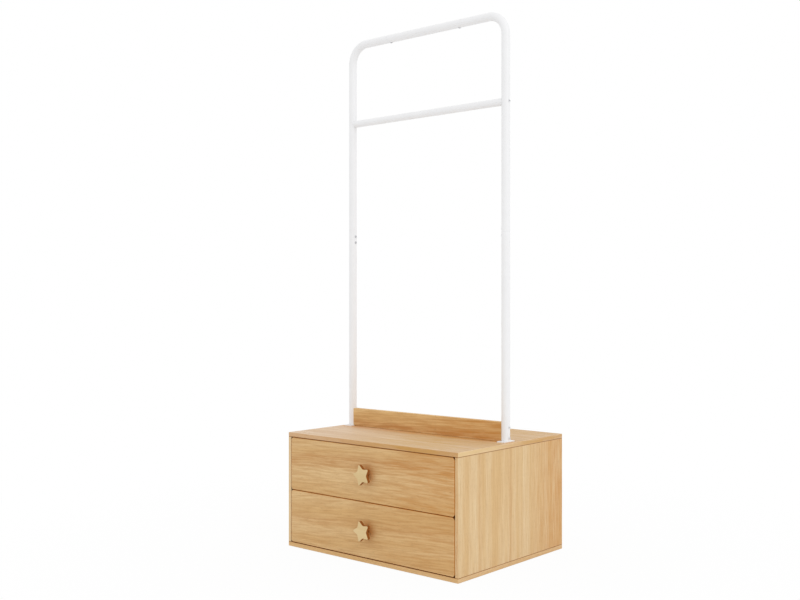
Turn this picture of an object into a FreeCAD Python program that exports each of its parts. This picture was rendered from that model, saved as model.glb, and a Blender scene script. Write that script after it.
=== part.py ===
"""Clothes storage unit: a two-drawer chest with a bolted tube rack standing on its top.

Row frame: X to the right seen from the front, Y to the back, Z up, millimetres.
The origin lies on the floor under the middle of the chest.
"""

import FreeCAD
import Part
import Sketcher
import math
import os

# A size written as a formula follows other sizes, so the pieces that depend on it keep fitting
SIZES = {
    # Chest
    "chest_width": 750,
    "chest_depth": 590,
    "chest_height": 398,
    "board": 15,
    "side_board": 12,
    "edge_round": 1.2,
    # Back board in its grooves
    "thin_board": 3,
    "back_inset": 12,
    "groove_depth": 5,
    "groove_play": 0.2,
    # Fits and fixings shared by several pieces
    "fit_play": 0.2,
    "saddle_play": 0.05,
    "cope_play": 0.15,
    "cut_margin": 1,
    "head_skirt": 1.3,
    "bolt": 6,
    "bolt_head": 10,
    "bolt_head_height": 1.4,
    "bolt_socket": 4,
    # Cam fittings and dowels of the chest
    "cam": 12,
    "cam_cover": 2.5,
    "cam_height": "=side_board - cam_cover",
    "cam_cross": 7.2,
    "cam_cross_slot": 1.2,
    "cam_cross_depth": 1.4,
    "cam_reach": 24,
    "cam_inset": 60,
    "cam_thread": 6,
    "cam_thread_depth": 11,
    "cam_bolt_neck": 4,
    "cam_bolt_head": 6,
    "cam_bolt_head_height": 4,
    "cam_bore_play": 0.6,
    "dowel": 6,
    "dowel_length": 24,
    "dowel_depth": 11,
    "dowel_inset": 105,
    # Drawers
    "front_gap": 1.6,
    "front_round": 2.6,
    "front_corner_round": 9,
    "box_board": 12,
    "box_lift": 14,
    "box_drop": 27,
    "box_height": "=(chest_height - 2 * board - 3 * front_gap) / 2 - box_lift - box_drop",
    "floor_lift": 10,
    "box_dowel_inset": 30,
    "box_dowel_cover": 3.6,
    "box_dowel_seat": "=box_board - box_dowel_cover",
    # Star knobs
    "star_tip": 39,
    "star_notch": 21,
    "star_tip_round": 4,
    "star_notch_round": 10,
    "star_rim_round": 2,
    "star_back_round": 1,
    "star_plate": 12,
    "stem": 18,
    "stem_length": 18,
    "knob_screw": 4,
    "knob_screw_rest": 8,
    "knob_screw_bite": "=stem_length - knob_screw_rest",
    "spigot": 10,
    "spigot_cover": 5,
    "spigot_length": "=star_plate - spigot_cover",
    "knob_screw_head": 8,
    "knob_screw_head_height": 2.4,
    "knob_screw_socket": 2.5,
    # Ball runners
    "runner_sheet": 1.2,
    "runner_lip": 1.2,
    "runner_bend": 0.8,
    "runner_web_gap": 1.4,
    "runner_nose_gap": 0.9,
    "runner_rim_gap": 1,
    "ball": 3.5,
    "ball_play": 0.25,
    "race_room": 1.1,
    "runner_gaps": "=runner_web_gap + runner_nose_gap + runner_rim_gap",
    "runner_width": "=4 * runner_sheet + runner_gaps + ball + race_room",
    "runner_height": 45,
    "runner_setback": 2,
    "runner_rear_gap": 57.6,
    "back_room": "=chest_depth - back_inset - thin_board - 2 * groove_play - board",
    "runner_length": "=back_room - runner_setback - runner_rear_gap",
    "travel_reserve": 20,
    "runner_travel": "=runner_length - travel_reserve",
    "cage_sheet": 0.6,
    "cage_rim": 0.5,
    "cage_width": "=ball + 2 * ball_play + 2 * cage_rim",
    "cage_margin": 35,
    "runner_screw": 3.4,
    "runner_screw_length": 9,
    "runner_screw_head": 7,
    "runner_screw_head_height": 1,
    "runner_screw_socket": 2.5,
    "runner_screw_inset": 35,
    # Tube rack
    "tube": 28.6,
    "tube_wall": 1.2,
    "post_inset": 31,
    "rack_height": 1799.5,
    "joint_drop": 714.5,
    "joint_height": "=rack_height - joint_drop",
    "bend_radius": 67,
    "rail_seam": 165,
    "sleeve_length": 100,
    "joint_screw": 5,
    "joint_screw_length": 9,
    "joint_screw_head": 9.6,
    "joint_screw_head_height": 1.4,
    "joint_screw_socket": 3,
    "joint_pitch": 22,
    "rail_slimmer": 3.6,
    "hanging_rail": "=tube - rail_slimmer",
    "rail_drop": 288,
    "hanging_height": "=rack_height - rail_drop",
    "rail_insert_length": 18,
    "insert_setback": 0.4,
    "bolt_bite": 14,
    # Base plates and the board between the posts
    "plate": 3,
    "plate_round": 3,
    "plate_side_margin": 2,
    "plate_end_margin": 4,
    "plate_bolt_gap": 1.3,
    "plate_bolt_reach": "=tube / 2 + plate_bolt_gap + bolt_head / 2",
    "plate_width": "=tube + 2 * plate_side_margin",
    "plate_depth": "=2 * (plate_bolt_reach + bolt_head / 2 + plate_end_margin)",
    "plate_bolt_head_height": 2.4,
    "bolt_tail": 1.8,
    "nut": 10,
    "nut_height": 5,
    "nut_flange": 13,
    "nut_flange_height": 1.2,
    "rack_board": 18,
    "rack_board_height": 64.5,
    "rack_board_round": 1.5,
    "notch_play": 0.5,
    "board_bolt_low": 13,
    "board_bolt_drop": 17,
    "board_bolt_high": "=rack_board_height - board_bolt_drop",
    "board_insert": 10,
    "board_insert_length": 15,
}

BALLS_IN_A_ROW = 5
STAR_POINTS = 5
FIRST_TIP_ANGLE = 180

# Shares of a screw head's height: its rounded crown and the shank's root inside it
CROWN_SHARE = 0.6
ROOT_SHARE = 0.2

# Depth of a screw's hexagon socket as a share of its width
SOCKET_SHARE = 0.6

# Limits for telling which edge is meant
SAME_LEVEL = 1e-6
SAME_RADIUS = 0.01
PARALLEL = 0.99

NO_TURN = FreeCAD.Rotation()
HALF_TURN = FreeCAD.Rotation(FreeCAD.Vector(0, 0, 1), 180)
ROLL_OVER = FreeCAD.Rotation(FreeCAD.Vector(0, 1, 0), 180)
TIP_OVER = FreeCAD.Rotation(FreeCAD.Vector(1, 0, 0), 180)
FACE_RIGHT = FreeCAD.Rotation(FreeCAD.Vector(0, 1, 0), 90)
FACE_LEFT = FreeCAD.Rotation(FreeCAD.Vector(0, 1, 0), -90)
FACE_BACK = FreeCAD.Rotation(FreeCAD.Vector(1, 0, 0), -90)

# Lengths worked out from the sizes above
HALF_WIDTH = "(Sizes.chest_width / 2)"
HALF_DEPTH = "(Sizes.chest_depth / 2)"
INNER_HALF = "(Sizes.chest_width / 2 - Sizes.side_board)"
SIDE_HEIGHT = "(Sizes.chest_height - 2 * Sizes.board)"
TOP_SEAM = "(Sizes.chest_height - Sizes.board)"
GROOVE_WIDTH = "(Sizes.thin_board + 2 * Sizes.groove_play)"
GROOVE_REACH = "(Sizes.groove_depth - Sizes.groove_play)"
BACK_GROOVE = f"(Sizes.chest_depth - Sizes.back_inset - {GROOVE_WIDTH})"
CAM_BORE = "(Sizes.cam_bolt_head + Sizes.cam_bore_play)"
CAM_BORE_DEPTH = "(Sizes.cam_reach + Sizes.cam_bolt_head_height / 2 + Sizes.fit_play)"
DOWEL_BORE = "(Sizes.dowel + Sizes.fit_play)"
DOWEL_REST = "(Sizes.dowel_length - Sizes.dowel_depth)"
BOLT_HOLE = "(Sizes.bolt + 2 * Sizes.fit_play)"
POST_X = "(Sizes.chest_width / 2 - Sizes.post_inset)"
POST_SPAN = "(Sizes.chest_width - 2 * Sizes.post_inset)"
TUBE_RADIUS = "(Sizes.tube / 2)"
TUBE_BORE = "(Sizes.tube - 2 * Sizes.tube_wall)"
COPE = "(Sizes.tube + 2 * Sizes.cope_play)"
POST_FOOT = "(Sizes.chest_height + Sizes.plate)"
FRONT_HEIGHT = f"(({SIDE_HEIGHT} - 3 * Sizes.front_gap) / 2)"
FRONT_WIDTH = f"(2 * {INNER_HALF} - 2 * Sizes.front_gap)"
BOX_FRONT = "(Sizes.board - Sizes.chest_depth / 2)"
BOX_HALF = f"({INNER_HALF} - Sizes.runner_width)"
BOX_INSIDE = f"(2 * {BOX_HALF} - 2 * Sizes.box_board)"
RUNNER_START = f"({BOX_FRONT} + Sizes.runner_setback)"
RACE = "(Sizes.ball + 2 * Sizes.ball_play)"
RUNNER_NEST = f"(Sizes.runner_sheet + {RACE})"
CAGE_LENGTH = "(Sizes.runner_length - Sizes.runner_travel / 2 - Sizes.cage_margin)"

doc = FreeCAD.newDocument("ClothesStorageUnit")
sheet = doc.addObject("Spreadsheet::Sheet", "Sizes")
for row, (alias, size) in enumerate(SIZES.items(), start=1):
    sheet.set(f"A{row}", alias)
    sheet.set(f"B{row}", str(size))
    sheet.setAlias(f"B{row}", alias)
doc.recompute()

nodes = {}
body_sizes = {}


def number(text):
    """Value of an expression over the sheet, in millimetres."""
    return float(sheet.evalExpression(text))


def bind(item, expressions):
    for path, text in expressions.items():
        item.setExpression(path, text)


def place(item, x, y, z, turn=NO_TURN):
    item.Placement = FreeCAD.Placement(FreeCAD.Vector(number(x), number(y), number(z)), turn)
    bind(item, {"Placement.Base.x": x, "Placement.Base.y": y, "Placement.Base.z": z})


def new_body(label):
    body = doc.addObject("PartDesign::Body", "Body")
    body.Label = label
    return body


def keep(name, item):
    """List an object as one of the pieces that are written out."""
    item.Label = name
    nodes[name] = item
    return item


# Sketches, every point and circle tied to the sheet
def new_sketch(body, role, offset="0"):
    plane = next(item for item in body.Origin.OriginFeatures if item.Role == role)
    sketch = body.newObject("Sketcher::SketchObject", "Sketch")
    sketch.AttachmentSupport = [(plane, "")]
    sketch.MapMode = "FlatFace"
    if offset != "0":
        sketch.setExpression("AttachmentOffset.Base.z", offset)
    return sketch


def tie(sketch, constraint, text):
    index = sketch.addConstraint(constraint)
    sketch.setExpression(f"Constraints[{index}]", text)


def tie_point(sketch, geometry, point, across, up):
    if across == "0":
        sketch.addConstraint(Sketcher.Constraint("PointOnObject", geometry, point, -2))
    else:
        tie(sketch, Sketcher.Constraint("DistanceX", -1, 1, geometry, point, number(across)), across)
    if up == "0":
        sketch.addConstraint(Sketcher.Constraint("PointOnObject", geometry, point, -1))
    else:
        tie(sketch, Sketcher.Constraint("DistanceY", -1, 1, geometry, point, number(up)), up)


def draw_circle(sketch, across, up, diameter):
    centre = FreeCAD.Vector(number(across), number(up), 0)
    circle = Part.Circle(centre, FreeCAD.Vector(0, 0, 1), number(diameter) / 2)
    index = sketch.addGeometry(circle)
    tie_point(sketch, index, 3, across, up)
    tie(sketch, Sketcher.Constraint("Diameter", index, number(diameter)), diameter)


def draw_outline(sketch, points):
    corners = [FreeCAD.Vector(number(across), number(up), 0) for across, up in points]
    count = len(corners)
    lines = []
    for index in range(count):
        line = Part.LineSegment(corners[index], corners[(index + 1) % count])
        lines.append(sketch.addGeometry(line))
    for index in range(count):
        following = lines[(index + 1) % count]
        sketch.addConstraint(Sketcher.Constraint("Coincident", lines[index], 2, following, 1))
    for index, (across, up) in enumerate(points):
        tie_point(sketch, lines[index], 1, across, up)


def draw_rectangle(sketch, across, up, width, height):
    right = width if across == "0" else f"{across} + {width}"
    top = height if up == "0" else f"{up} + {height}"
    draw_outline(sketch, [(across, up), (right, up), (right, top), (across, top)])


def draw_hexagon(sketch, flats):
    points = []
    for corner in range(6):
        turn = 60 * corner + 30
        up = "0" if turn % 180 == 0 else f"{flats} / 2 / cos(30) * sin({turn})"
        across = "0" if turn % 180 == 90 else f"{flats} / 2 / cos(30) * cos({turn})"
        points.append((across, up))
    draw_outline(sketch, points)


# Solid features
def add_feature(body, kind, profile, length, reverse):
    feature = body.newObject(kind, kind.split("::")[1])
    feature.Profile = profile
    feature.Length = number(length)
    feature.setExpression("Length", length)
    feature.Reversed = reverse
    body.Tip = feature
    return feature


def pad(body, sketch, length, reverse=False):
    return add_feature(body, "PartDesign::Pad", sketch, length, reverse)


def pocket(body, sketch, length, reverse=False):
    doc.recompute()
    before = body.Shape.Volume
    feature = add_feature(body, "PartDesign::Pocket", sketch, length, reverse)
    doc.recompute()
    if body.Shape.Volume >= before:
        raise RuntimeError(f"a pocket of {body.Label} removes nothing")
    return feature


def round_edges(body, radius, wanted):
    """Round the edges whose middle point and direction the test accepts."""
    doc.recompute()
    base = body.Tip
    names = []
    for index, edge in enumerate(base.Shape.Edges, start=1):
        middle = edge.valueAt((edge.FirstParameter + edge.LastParameter) / 2)
        if wanted(middle, edge):
            names.append(f"Edge{index}")
    feature = body.newObject("PartDesign::Fillet", "Fillet")
    feature.Base = (base, names)
    feature.Radius = number(radius)
    feature.setExpression("Radius", radius)
    body.Tip = feature


def every_edge(middle, edge):
    return True


# Boards are drawn from their low corner, so every length in them is positive
def board(label, corner, lengths, edge_round=None):
    body = new_body(label)
    sketch = new_sketch(body, "XY_Plane")
    draw_rectangle(sketch, "0", "0", lengths[0], lengths[1])
    pad(body, sketch, lengths[2])
    if edge_round:
        round_edges(body, edge_round, every_edge)
    place(body, *corner)
    body_sizes[body.Name] = lengths
    return keep(label, body)


def face_sketch(body, face):
    """Sketch on one face of a board, and whether a pocket there has to be reversed."""
    width, depth, height = body_sizes[body.Name]
    faces = {
        "top": ("XY_Plane", height, False),
        "bottom": ("XY_Plane", "0", True),
        "front": ("XZ_Plane", "0", False),
        "back": ("XZ_Plane", f"-({depth})", True),
        "right": ("YZ_Plane", width, False),
        "left": ("YZ_Plane", "0", True),
    }
    role, offset, reverse = faces[face]
    return new_sketch(body, role, offset), reverse


def bore(body, face, spots, diameter, depth):
    sketch, reverse = face_sketch(body, face)
    for across, up in spots:
        draw_circle(sketch, across, up, diameter)
    pocket(body, sketch, depth, reverse)


def groove(body, face, across, up, width, height, depth):
    sketch, reverse = face_sketch(body, face)
    draw_rectangle(sketch, across, up, width, height)
    pocket(body, sketch, depth, reverse)


# Groups of equal pieces are links to one pattern piece
def copies(pattern, spots):
    made = []
    for x, y, z, turn in spots:
        link = doc.addObject("App::Link", "Copy")
        link.LinkedObject = pattern
        place(link, x, y, z, turn)
        made.append(link)
    return made


def group(name, pieces):
    doc.recompute()
    compound = doc.addObject("Part::Compound", "Group")
    compound.Links = pieces
    return keep(name, compound)


def screw(label, head, head_height, socket, shank, length, saddle=None):
    """Socket screw with its head above the XY plane and its shank below it.

    A saddle is the diameter of the tube, lying along X, on which the head beds.
    """
    body = new_body(label)
    if saddle:
        sketch = new_sketch(body, "XY_Plane", "-Sizes.head_skirt")
        draw_circle(sketch, "0", "0", head)
        pad(body, sketch, f"{head_height} + Sizes.head_skirt")
        cut = new_sketch(body, "YZ_Plane", head)
        draw_circle(cut, "0", f"-{saddle} / 2", f"{saddle} + 2 * Sizes.saddle_play")
        pocket(body, cut, f"2 * {head}")
    else:
        sketch = new_sketch(body, "XY_Plane")
        draw_circle(sketch, "0", "0", head)
        pad(body, sketch, head_height)
    crown = number(head_height)
    round_edges(
        body,
        f"{CROWN_SHARE} * {head_height}",
        lambda middle, edge: abs(middle.z - crown) < SAME_LEVEL,
    )
    root = f"{ROOT_SHARE} * {head_height}"
    sketch = new_sketch(body, "XY_Plane", root)
    draw_circle(sketch, "0", "0", shank)
    pad(body, sketch, f"{length} + {root}", True)
    drive = new_sketch(body, "XY_Plane", head_height)
    draw_hexagon(drive, socket)
    pocket(body, drive, f"{SOCKET_SHARE} * {socket}")
    return body


# Boards of the chest
top = board(
    "top_panel",
    (f"-{HALF_WIDTH}", f"-{HALF_DEPTH}", TOP_SEAM),
    ("Sizes.chest_width", "Sizes.chest_depth", "Sizes.board"),
    "Sizes.edge_round",
)
bottom = board(
    "bottom_panel",
    (f"-{HALF_WIDTH}", f"-{HALF_DEPTH}", "0"),
    ("Sizes.chest_width", "Sizes.chest_depth", "Sizes.board"),
    "Sizes.edge_round",
)
edge_lines = ("Sizes.side_board / 2", "Sizes.chest_width - Sizes.side_board / 2")
cam_rows = ("Sizes.cam_inset", "Sizes.chest_depth - Sizes.cam_inset")
dowel_rows = ("Sizes.dowel_inset", "Sizes.chest_depth - Sizes.dowel_inset")
cam_bolt_spots = [(x, y) for x in edge_lines for y in cam_rows]
dowel_spots = [(x, y) for x in edge_lines for y in dowel_rows]
for panel, face in ((top, "bottom"), (bottom, "top")):
    thread_bore = "Sizes.cam_thread + Sizes.fit_play"
    bore(panel, face, cam_bolt_spots, thread_bore, "Sizes.cam_thread_depth + Sizes.fit_play")
    bore(panel, face, dowel_spots, DOWEL_BORE, "Sizes.dowel_depth + Sizes.fit_play")
    groove(
        panel,
        face,
        "Sizes.side_board - Sizes.groove_depth",
        BACK_GROOVE,
        f"2 * {INNER_HALF} + 2 * Sizes.groove_depth",
        GROOVE_WIDTH,
        "Sizes.groove_depth",
    )
post_lines = ("Sizes.post_inset", "Sizes.chest_width - Sizes.post_inset")
plate_bolt_rows = (
    "Sizes.chest_depth / 2 - Sizes.plate_bolt_reach",
    "Sizes.chest_depth / 2 + Sizes.plate_bolt_reach",
)
bore(top, "bottom", [(x, y) for x in post_lines for y in plate_bolt_rows], BOLT_HOLE, "2 * Sizes.board")

DRAWER_FLOORS = {
    "lower": "(Sizes.board + Sizes.front_gap)",
    "upper": f"(Sizes.board + 2 * Sizes.front_gap + {FRONT_HEIGHT})",
}
RUNNER_MIDDLES = {
    name: f"({floor} + Sizes.box_lift + Sizes.box_height / 2)" for name, floor in DRAWER_FLOORS.items()
}
screw_rows = (
    "Sizes.runner_screw_inset",
    "Sizes.runner_length / 2",
    "Sizes.runner_length - Sizes.runner_screw_inset",
)


def side_panel(label, x, inner_face):
    body = board(
        label,
        (x, f"-{HALF_DEPTH}", "Sizes.board"),
        ("Sizes.side_board", "Sizes.chest_depth", SIDE_HEIGHT),
        "Sizes.edge_round",
    )
    cam_spots = [(y, z) for y in cam_rows for z in ("Sizes.cam_reach", f"{SIDE_HEIGHT} - Sizes.cam_reach")]
    bore(body, inner_face, cam_spots, "Sizes.cam + Sizes.fit_play", "Sizes.cam_height + Sizes.fit_play")
    middle = "Sizes.side_board / 2"
    for face in ("top", "bottom"):
        bore(body, face, [(middle, y) for y in cam_rows], CAM_BORE, CAM_BORE_DEPTH)
        bore(body, face, [(middle, y) for y in dowel_rows], DOWEL_BORE, f"{DOWEL_REST} + Sizes.fit_play")
    start = "Sizes.board + Sizes.runner_setback"
    pilots = [
        (f"{start} + {row}", f"{height} - Sizes.board")
        for row in screw_rows
        for height in RUNNER_MIDDLES.values()
    ]
    bore(body, inner_face, pilots, "Sizes.runner_screw + Sizes.fit_play", "Sizes.runner_screw_length")
    groove(body, inner_face, BACK_GROOVE, "0", GROOVE_WIDTH, SIDE_HEIGHT, "Sizes.groove_depth")


side_panel("left_side_panel", f"-{HALF_WIDTH}", "right")
side_panel("right_side_panel", INNER_HALF, "left")
board(
    "back_panel",
    (
        f"-{INNER_HALF} - {GROOVE_REACH}",
        f"{BACK_GROOVE} + Sizes.groove_play - {HALF_DEPTH}",
        f"Sizes.board - {GROOVE_REACH}",
    ),
    (f"2 * {INNER_HALF} + 2 * {GROOVE_REACH}", "Sizes.thin_board", f"{SIDE_HEIGHT} + 2 * {GROOVE_REACH}"),
)

# Cam fittings and dowels of the chest
cam = new_body("cam_pattern")
sketch = new_sketch(cam, "XY_Plane")
draw_circle(sketch, "0", "0", "Sizes.cam")
pad(cam, sketch, "Sizes.cam_height", True)
sketch = new_sketch(cam, "YZ_Plane", "Sizes.cam")
draw_circle(sketch, "0", "-Sizes.side_board / 2", CAM_BORE)
pocket(cam, sketch, "2 * Sizes.cam")
cross_arms = (("Sizes.cam_cross_slot", "Sizes.cam_cross"), ("Sizes.cam_cross", "Sizes.cam_cross_slot"))
for width, height in cross_arms:
    sketch = new_sketch(cam, "XY_Plane")
    draw_rectangle(sketch, f"-{width} / 2", f"-{height} / 2", width, height)
    pocket(cam, sketch, "Sizes.cam_cross_depth")

low_cam = "Sizes.board + Sizes.cam_reach"
high_cam = f"{TOP_SEAM} - Sizes.cam_reach"
cam_spots = []
for side, turn in ((f"-{INNER_HALF}", FACE_RIGHT), (INNER_HALF, FACE_LEFT)):
    for y in cam_rows:
        for z in (low_cam, high_cam):
            cam_spots.append((side, f"{y} - {HALF_DEPTH}", z, turn))
group("carcass_cams", copies(cam, cam_spots))

cam_bolt = new_body("cam_bolt_pattern")
neck = "(Sizes.cam_reach - Sizes.cam_bolt_head_height / 2)"
for start, diameter, length, reverse in (
    ("0", "Sizes.cam_thread", "Sizes.cam_thread_depth", False),
    ("0", "Sizes.cam_bolt_neck", neck, True),
    (f"-{neck}", "Sizes.cam_bolt_head", "Sizes.cam_bolt_head_height", True),
):
    sketch = new_sketch(cam_bolt, "XY_Plane", start)
    draw_circle(sketch, "0", "0", diameter)
    pad(cam_bolt, sketch, length, reverse)

bolt_lines = [f"{x} - {HALF_WIDTH}" for x in edge_lines]
bolt_spots = []
for x in bolt_lines:
    for y in cam_rows:
        bolt_spots.append((x, f"{y} - {HALF_DEPTH}", TOP_SEAM, NO_TURN))
        bolt_spots.append((x, f"{y} - {HALF_DEPTH}", "Sizes.board", TIP_OVER))
group("carcass_cam_bolts", copies(cam_bolt, bolt_spots))

dowel = doc.addObject("Part::Cylinder", "Dowel")
dowel.Label = "dowel_pattern"
bind(dowel, {"Radius": "Sizes.dowel / 2", "Height": "Sizes.dowel_length"})
dowel_copies = []
for x in bolt_lines:
    for y in dowel_rows:
        dowel_copies.append((x, f"{y} - {HALF_DEPTH}", f"{TOP_SEAM} - {DOWEL_REST}", NO_TURN))
        dowel_copies.append((x, f"{y} - {HALF_DEPTH}", "Sizes.board - Sizes.dowel_depth", NO_TURN))
group("carcass_dowels", copies(dowel, dowel_copies))


# Ball runners: three nested channels and two ball cages on each side of a drawer
def channel(label, start, end, level, opens_right):
    """Lipped steel channel seen from the front: start and end across, level above the runner's foot."""
    body = new_body(label)
    sheet_up = f"{level} + Sizes.runner_sheet"
    lip_up = f"{level} + Sizes.runner_sheet + Sizes.runner_lip"
    top_up = f"Sizes.runner_height - ({level})"
    under_top = f"{top_up} - Sizes.runner_sheet"
    under_lip = f"{top_up} - Sizes.runner_sheet - Sizes.runner_lip"
    if opens_right:
        web, rim = start, end
        web_in, rim_in = f"{start} + Sizes.runner_sheet", f"{end} - Sizes.runner_sheet"
    else:
        web, rim = end, start
        web_in, rim_in = f"{end} - Sizes.runner_sheet", f"{start} + Sizes.runner_sheet"
    sketch = new_sketch(body, "XZ_Plane")
    draw_outline(
        sketch,
        [
            (web, level),
            (rim, level),
            (rim, lip_up),
            (rim_in, lip_up),
            (rim_in, sheet_up),
            (web_in, sheet_up),
            (web_in, under_top),
            (rim_in, under_top),
            (rim_in, under_lip),
            (rim, under_lip),
            (rim, top_up),
            (web, top_up),
        ],
    )
    pad(body, sketch, "Sizes.runner_length", True)
    ends = (number(level), number(top_up))

    def outer_bend(middle, edge):
        along = abs(edge.tangentAt(edge.FirstParameter).y) > PARALLEL
        return along and min(abs(middle.z - ends[0]), abs(middle.z - ends[1])) < SAME_LEVEL

    round_edges(body, "Sizes.runner_bend", outer_bend)
    return body


def screw_holes(body):
    sketch = new_sketch(body, "YZ_Plane", "Sizes.runner_width + Sizes.cut_margin")
    for row in screw_rows:
        draw_circle(sketch, row, "Sizes.runner_height / 2", "Sizes.runner_screw + Sizes.fit_play")
    pocket(body, sketch, "Sizes.runner_width + 2 * Sizes.cut_margin")


middle_start = "(Sizes.runner_sheet + Sizes.runner_web_gap)"
middle_end = "(Sizes.runner_width - Sizes.runner_sheet - Sizes.runner_rim_gap)"
cabinet_end = f"({middle_end} - Sizes.runner_rim_gap)"
drawer_start = f"({middle_start} + Sizes.runner_sheet + Sizes.runner_nose_gap)"
drawer_end = "Sizes.runner_width"


def cabinet_channel(label):
    body = channel(label, "0", cabinet_end, "0", True)
    screw_holes(body)
    return body


def drawer_channel(label):
    body = channel(label, drawer_start, drawer_end, f"2 * {RUNNER_NEST}", False)
    screw_holes(body)
    return body


middle_pattern = channel("middle_channel_pattern", middle_start, middle_end, RUNNER_NEST, True)

runner_screw = screw(
    "runner_screw_pattern",
    "Sizes.runner_screw_head",
    "Sizes.runner_screw_head_height",
    "Sizes.runner_screw_socket",
    "Sizes.runner_screw",
    "Sizes.runner_screw_length",
)

cage_strip = new_body("cage_strip_pattern")
sketch = new_sketch(cage_strip, "XY_Plane")
draw_rectangle(sketch, "0", "0", "Sizes.cage_width", CAGE_LENGTH)
pad(cage_strip, sketch, "Sizes.cage_sheet")
ball_rows = [f"{CAGE_LENGTH} * {index + 0.5} / {BALLS_IN_A_ROW}" for index in range(BALLS_IN_A_ROW)]
sketch = new_sketch(cage_strip, "XY_Plane", "Sizes.cage_sheet")
for row in ball_rows:
    draw_circle(sketch, "Sizes.cage_width / 2", row, "Sizes.ball + 2 * Sizes.ball_play")
pocket(cage_strip, sketch, "2 * Sizes.cage_sheet")

ball = doc.addObject("Part::Sphere", "Ball")
ball.Label = "ball_pattern"
bind(ball, {"Radius": "Sizes.ball / 2"})

cage_start = f"{RUNNER_START} + (Sizes.runner_length - {CAGE_LENGTH}) / 2"
outer_middle = f"(({middle_start} + {cabinet_end} - Sizes.runner_sheet) / 2)"
inner_middle = f"(({drawer_start} + {middle_end} - Sizes.runner_sheet) / 2)"
CAGES = {
    "outer": (outer_middle, f"(Sizes.runner_height / 2 - Sizes.runner_sheet - {RACE} / 2)"),
    "inner": (inner_middle, f"(Sizes.runner_height / 2 - {RUNNER_NEST} - Sizes.runner_sheet - {RACE} / 2)"),
}


def ball_cages(name, runner_middle, across, reach):
    """Strips and balls above and below the middle of the left and the right runner."""
    pieces = []
    for side in (f"-{INNER_HALF} + {across}", f"{INNER_HALF} - {across}"):
        for up in (f"{runner_middle} + {reach}", f"{runner_middle} - {reach}"):
            strip = (f"{side} - Sizes.cage_width / 2", cage_start, f"{up} - Sizes.cage_sheet / 2", NO_TURN)
            pieces.extend(copies(cage_strip, [strip]))
            balls = [(side, f"{cage_start} + {row}", up, NO_TURN) for row in ball_rows]
            pieces.extend(copies(ball, balls))
    group(name, pieces)


def runner_spots(runner_middle):
    """Where a channel drawn for the left side goes on the left and, rolled over, on the right."""
    low = f"{runner_middle} - Sizes.runner_height / 2"
    high = f"{runner_middle} + Sizes.runner_height / 2"
    left = (f"-{INNER_HALF}", RUNNER_START, low, NO_TURN)
    right = (INNER_HALF, RUNNER_START, high, ROLL_OVER)
    return left, right


cabinet_screw_spots = []
for drawer_name, runner_middle in RUNNER_MIDDLES.items():
    left, right = runner_spots(runner_middle)
    for side, spot in (("left", left), ("right", right)):
        body = cabinet_channel("cabinet_channel")
        place(body, *spot)
        keep(f"{drawer_name}_{side}_cabinet_runner", body)
    for row in screw_rows:
        y = f"{RUNNER_START} + {row}"
        cabinet_screw_spots.append((f"-{INNER_HALF} + Sizes.runner_sheet", y, runner_middle, FACE_RIGHT))
        cabinet_screw_spots.append((f"{INNER_HALF} - Sizes.runner_sheet", y, runner_middle, FACE_LEFT))
group("cabinet_runner_screws", copies(runner_screw, cabinet_screw_spots))

# Star knob pieces
star_angles = []
for point in range(STAR_POINTS):
    tip = FIRST_TIP_ANGLE + 360 / STAR_POINTS * point
    star_angles.append(("Sizes.star_tip", tip))
    star_angles.append(("Sizes.star_notch", tip + 180 / STAR_POINTS))


def star_plate(label, z):
    body = new_body(label)
    sketch = new_sketch(body, "XZ_Plane", "Sizes.stem_length")
    points = []
    for reach, angle in star_angles:
        up = "0" if angle % 180 == 0 else f"{reach} * sin({angle})"
        points.append((f"{reach} * cos({angle})", up))
    draw_outline(sketch, points)
    pad(body, sketch, "Sizes.star_plate")
    tip, notch = number("Sizes.star_tip"), number("Sizes.star_notch")

    def corner_at(radius):
        def wanted(middle, edge):
            along = abs(edge.tangentAt(edge.FirstParameter).y) > PARALLEL
            return along and abs(math.hypot(middle.x, middle.z) - radius) < SAME_RADIUS

        return wanted

    round_edges(body, "Sizes.star_tip_round", corner_at(tip))
    round_edges(body, "Sizes.star_notch_round", corner_at(notch))
    front = -number("Sizes.stem_length + Sizes.star_plate")
    back = -number("Sizes.stem_length")
    round_edges(body, "Sizes.star_rim_round", lambda middle, edge: abs(middle.y - front) < SAME_LEVEL)
    round_edges(body, "Sizes.star_back_round", lambda middle, edge: abs(middle.y - back) < SAME_LEVEL)
    sketch = new_sketch(body, "XZ_Plane", "Sizes.stem_length")
    draw_circle(sketch, "0", "0", "Sizes.spigot + Sizes.fit_play")
    pocket(body, sketch, "Sizes.spigot_length + Sizes.fit_play", True)
    place(body, "0", f"-{HALF_DEPTH}", z)
    keep(label, body)


def knob_stem(label, z):
    """Turned stem: a spigot glued into the star in front, a bore for the screw behind."""
    body = new_body(label)
    for start, diameter, length in (
        ("0", "Sizes.stem", "Sizes.stem_length"),
        ("Sizes.stem_length", "Sizes.spigot", "Sizes.spigot_length"),
    ):
        sketch = new_sketch(body, "XZ_Plane", start)
        draw_circle(sketch, "0", "0", diameter)
        pad(body, sketch, length)
    sketch = new_sketch(body, "XZ_Plane")
    draw_circle(sketch, "0", "0", "Sizes.knob_screw + Sizes.fit_play")
    pocket(body, sketch, "Sizes.knob_screw_bite + Sizes.fit_play", True)
    place(body, "0", f"-{HALF_DEPTH}", z)
    keep(label, body)


def knob_screw(label, z):
    body = screw(
        label,
        "Sizes.knob_screw_head",
        "Sizes.knob_screw_head_height",
        "Sizes.knob_screw_socket",
        "Sizes.knob_screw",
        "Sizes.board + Sizes.knob_screw_bite",
    )
    place(body, "0", BOX_FRONT, z, FACE_BACK)
    keep(label, body)


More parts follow.
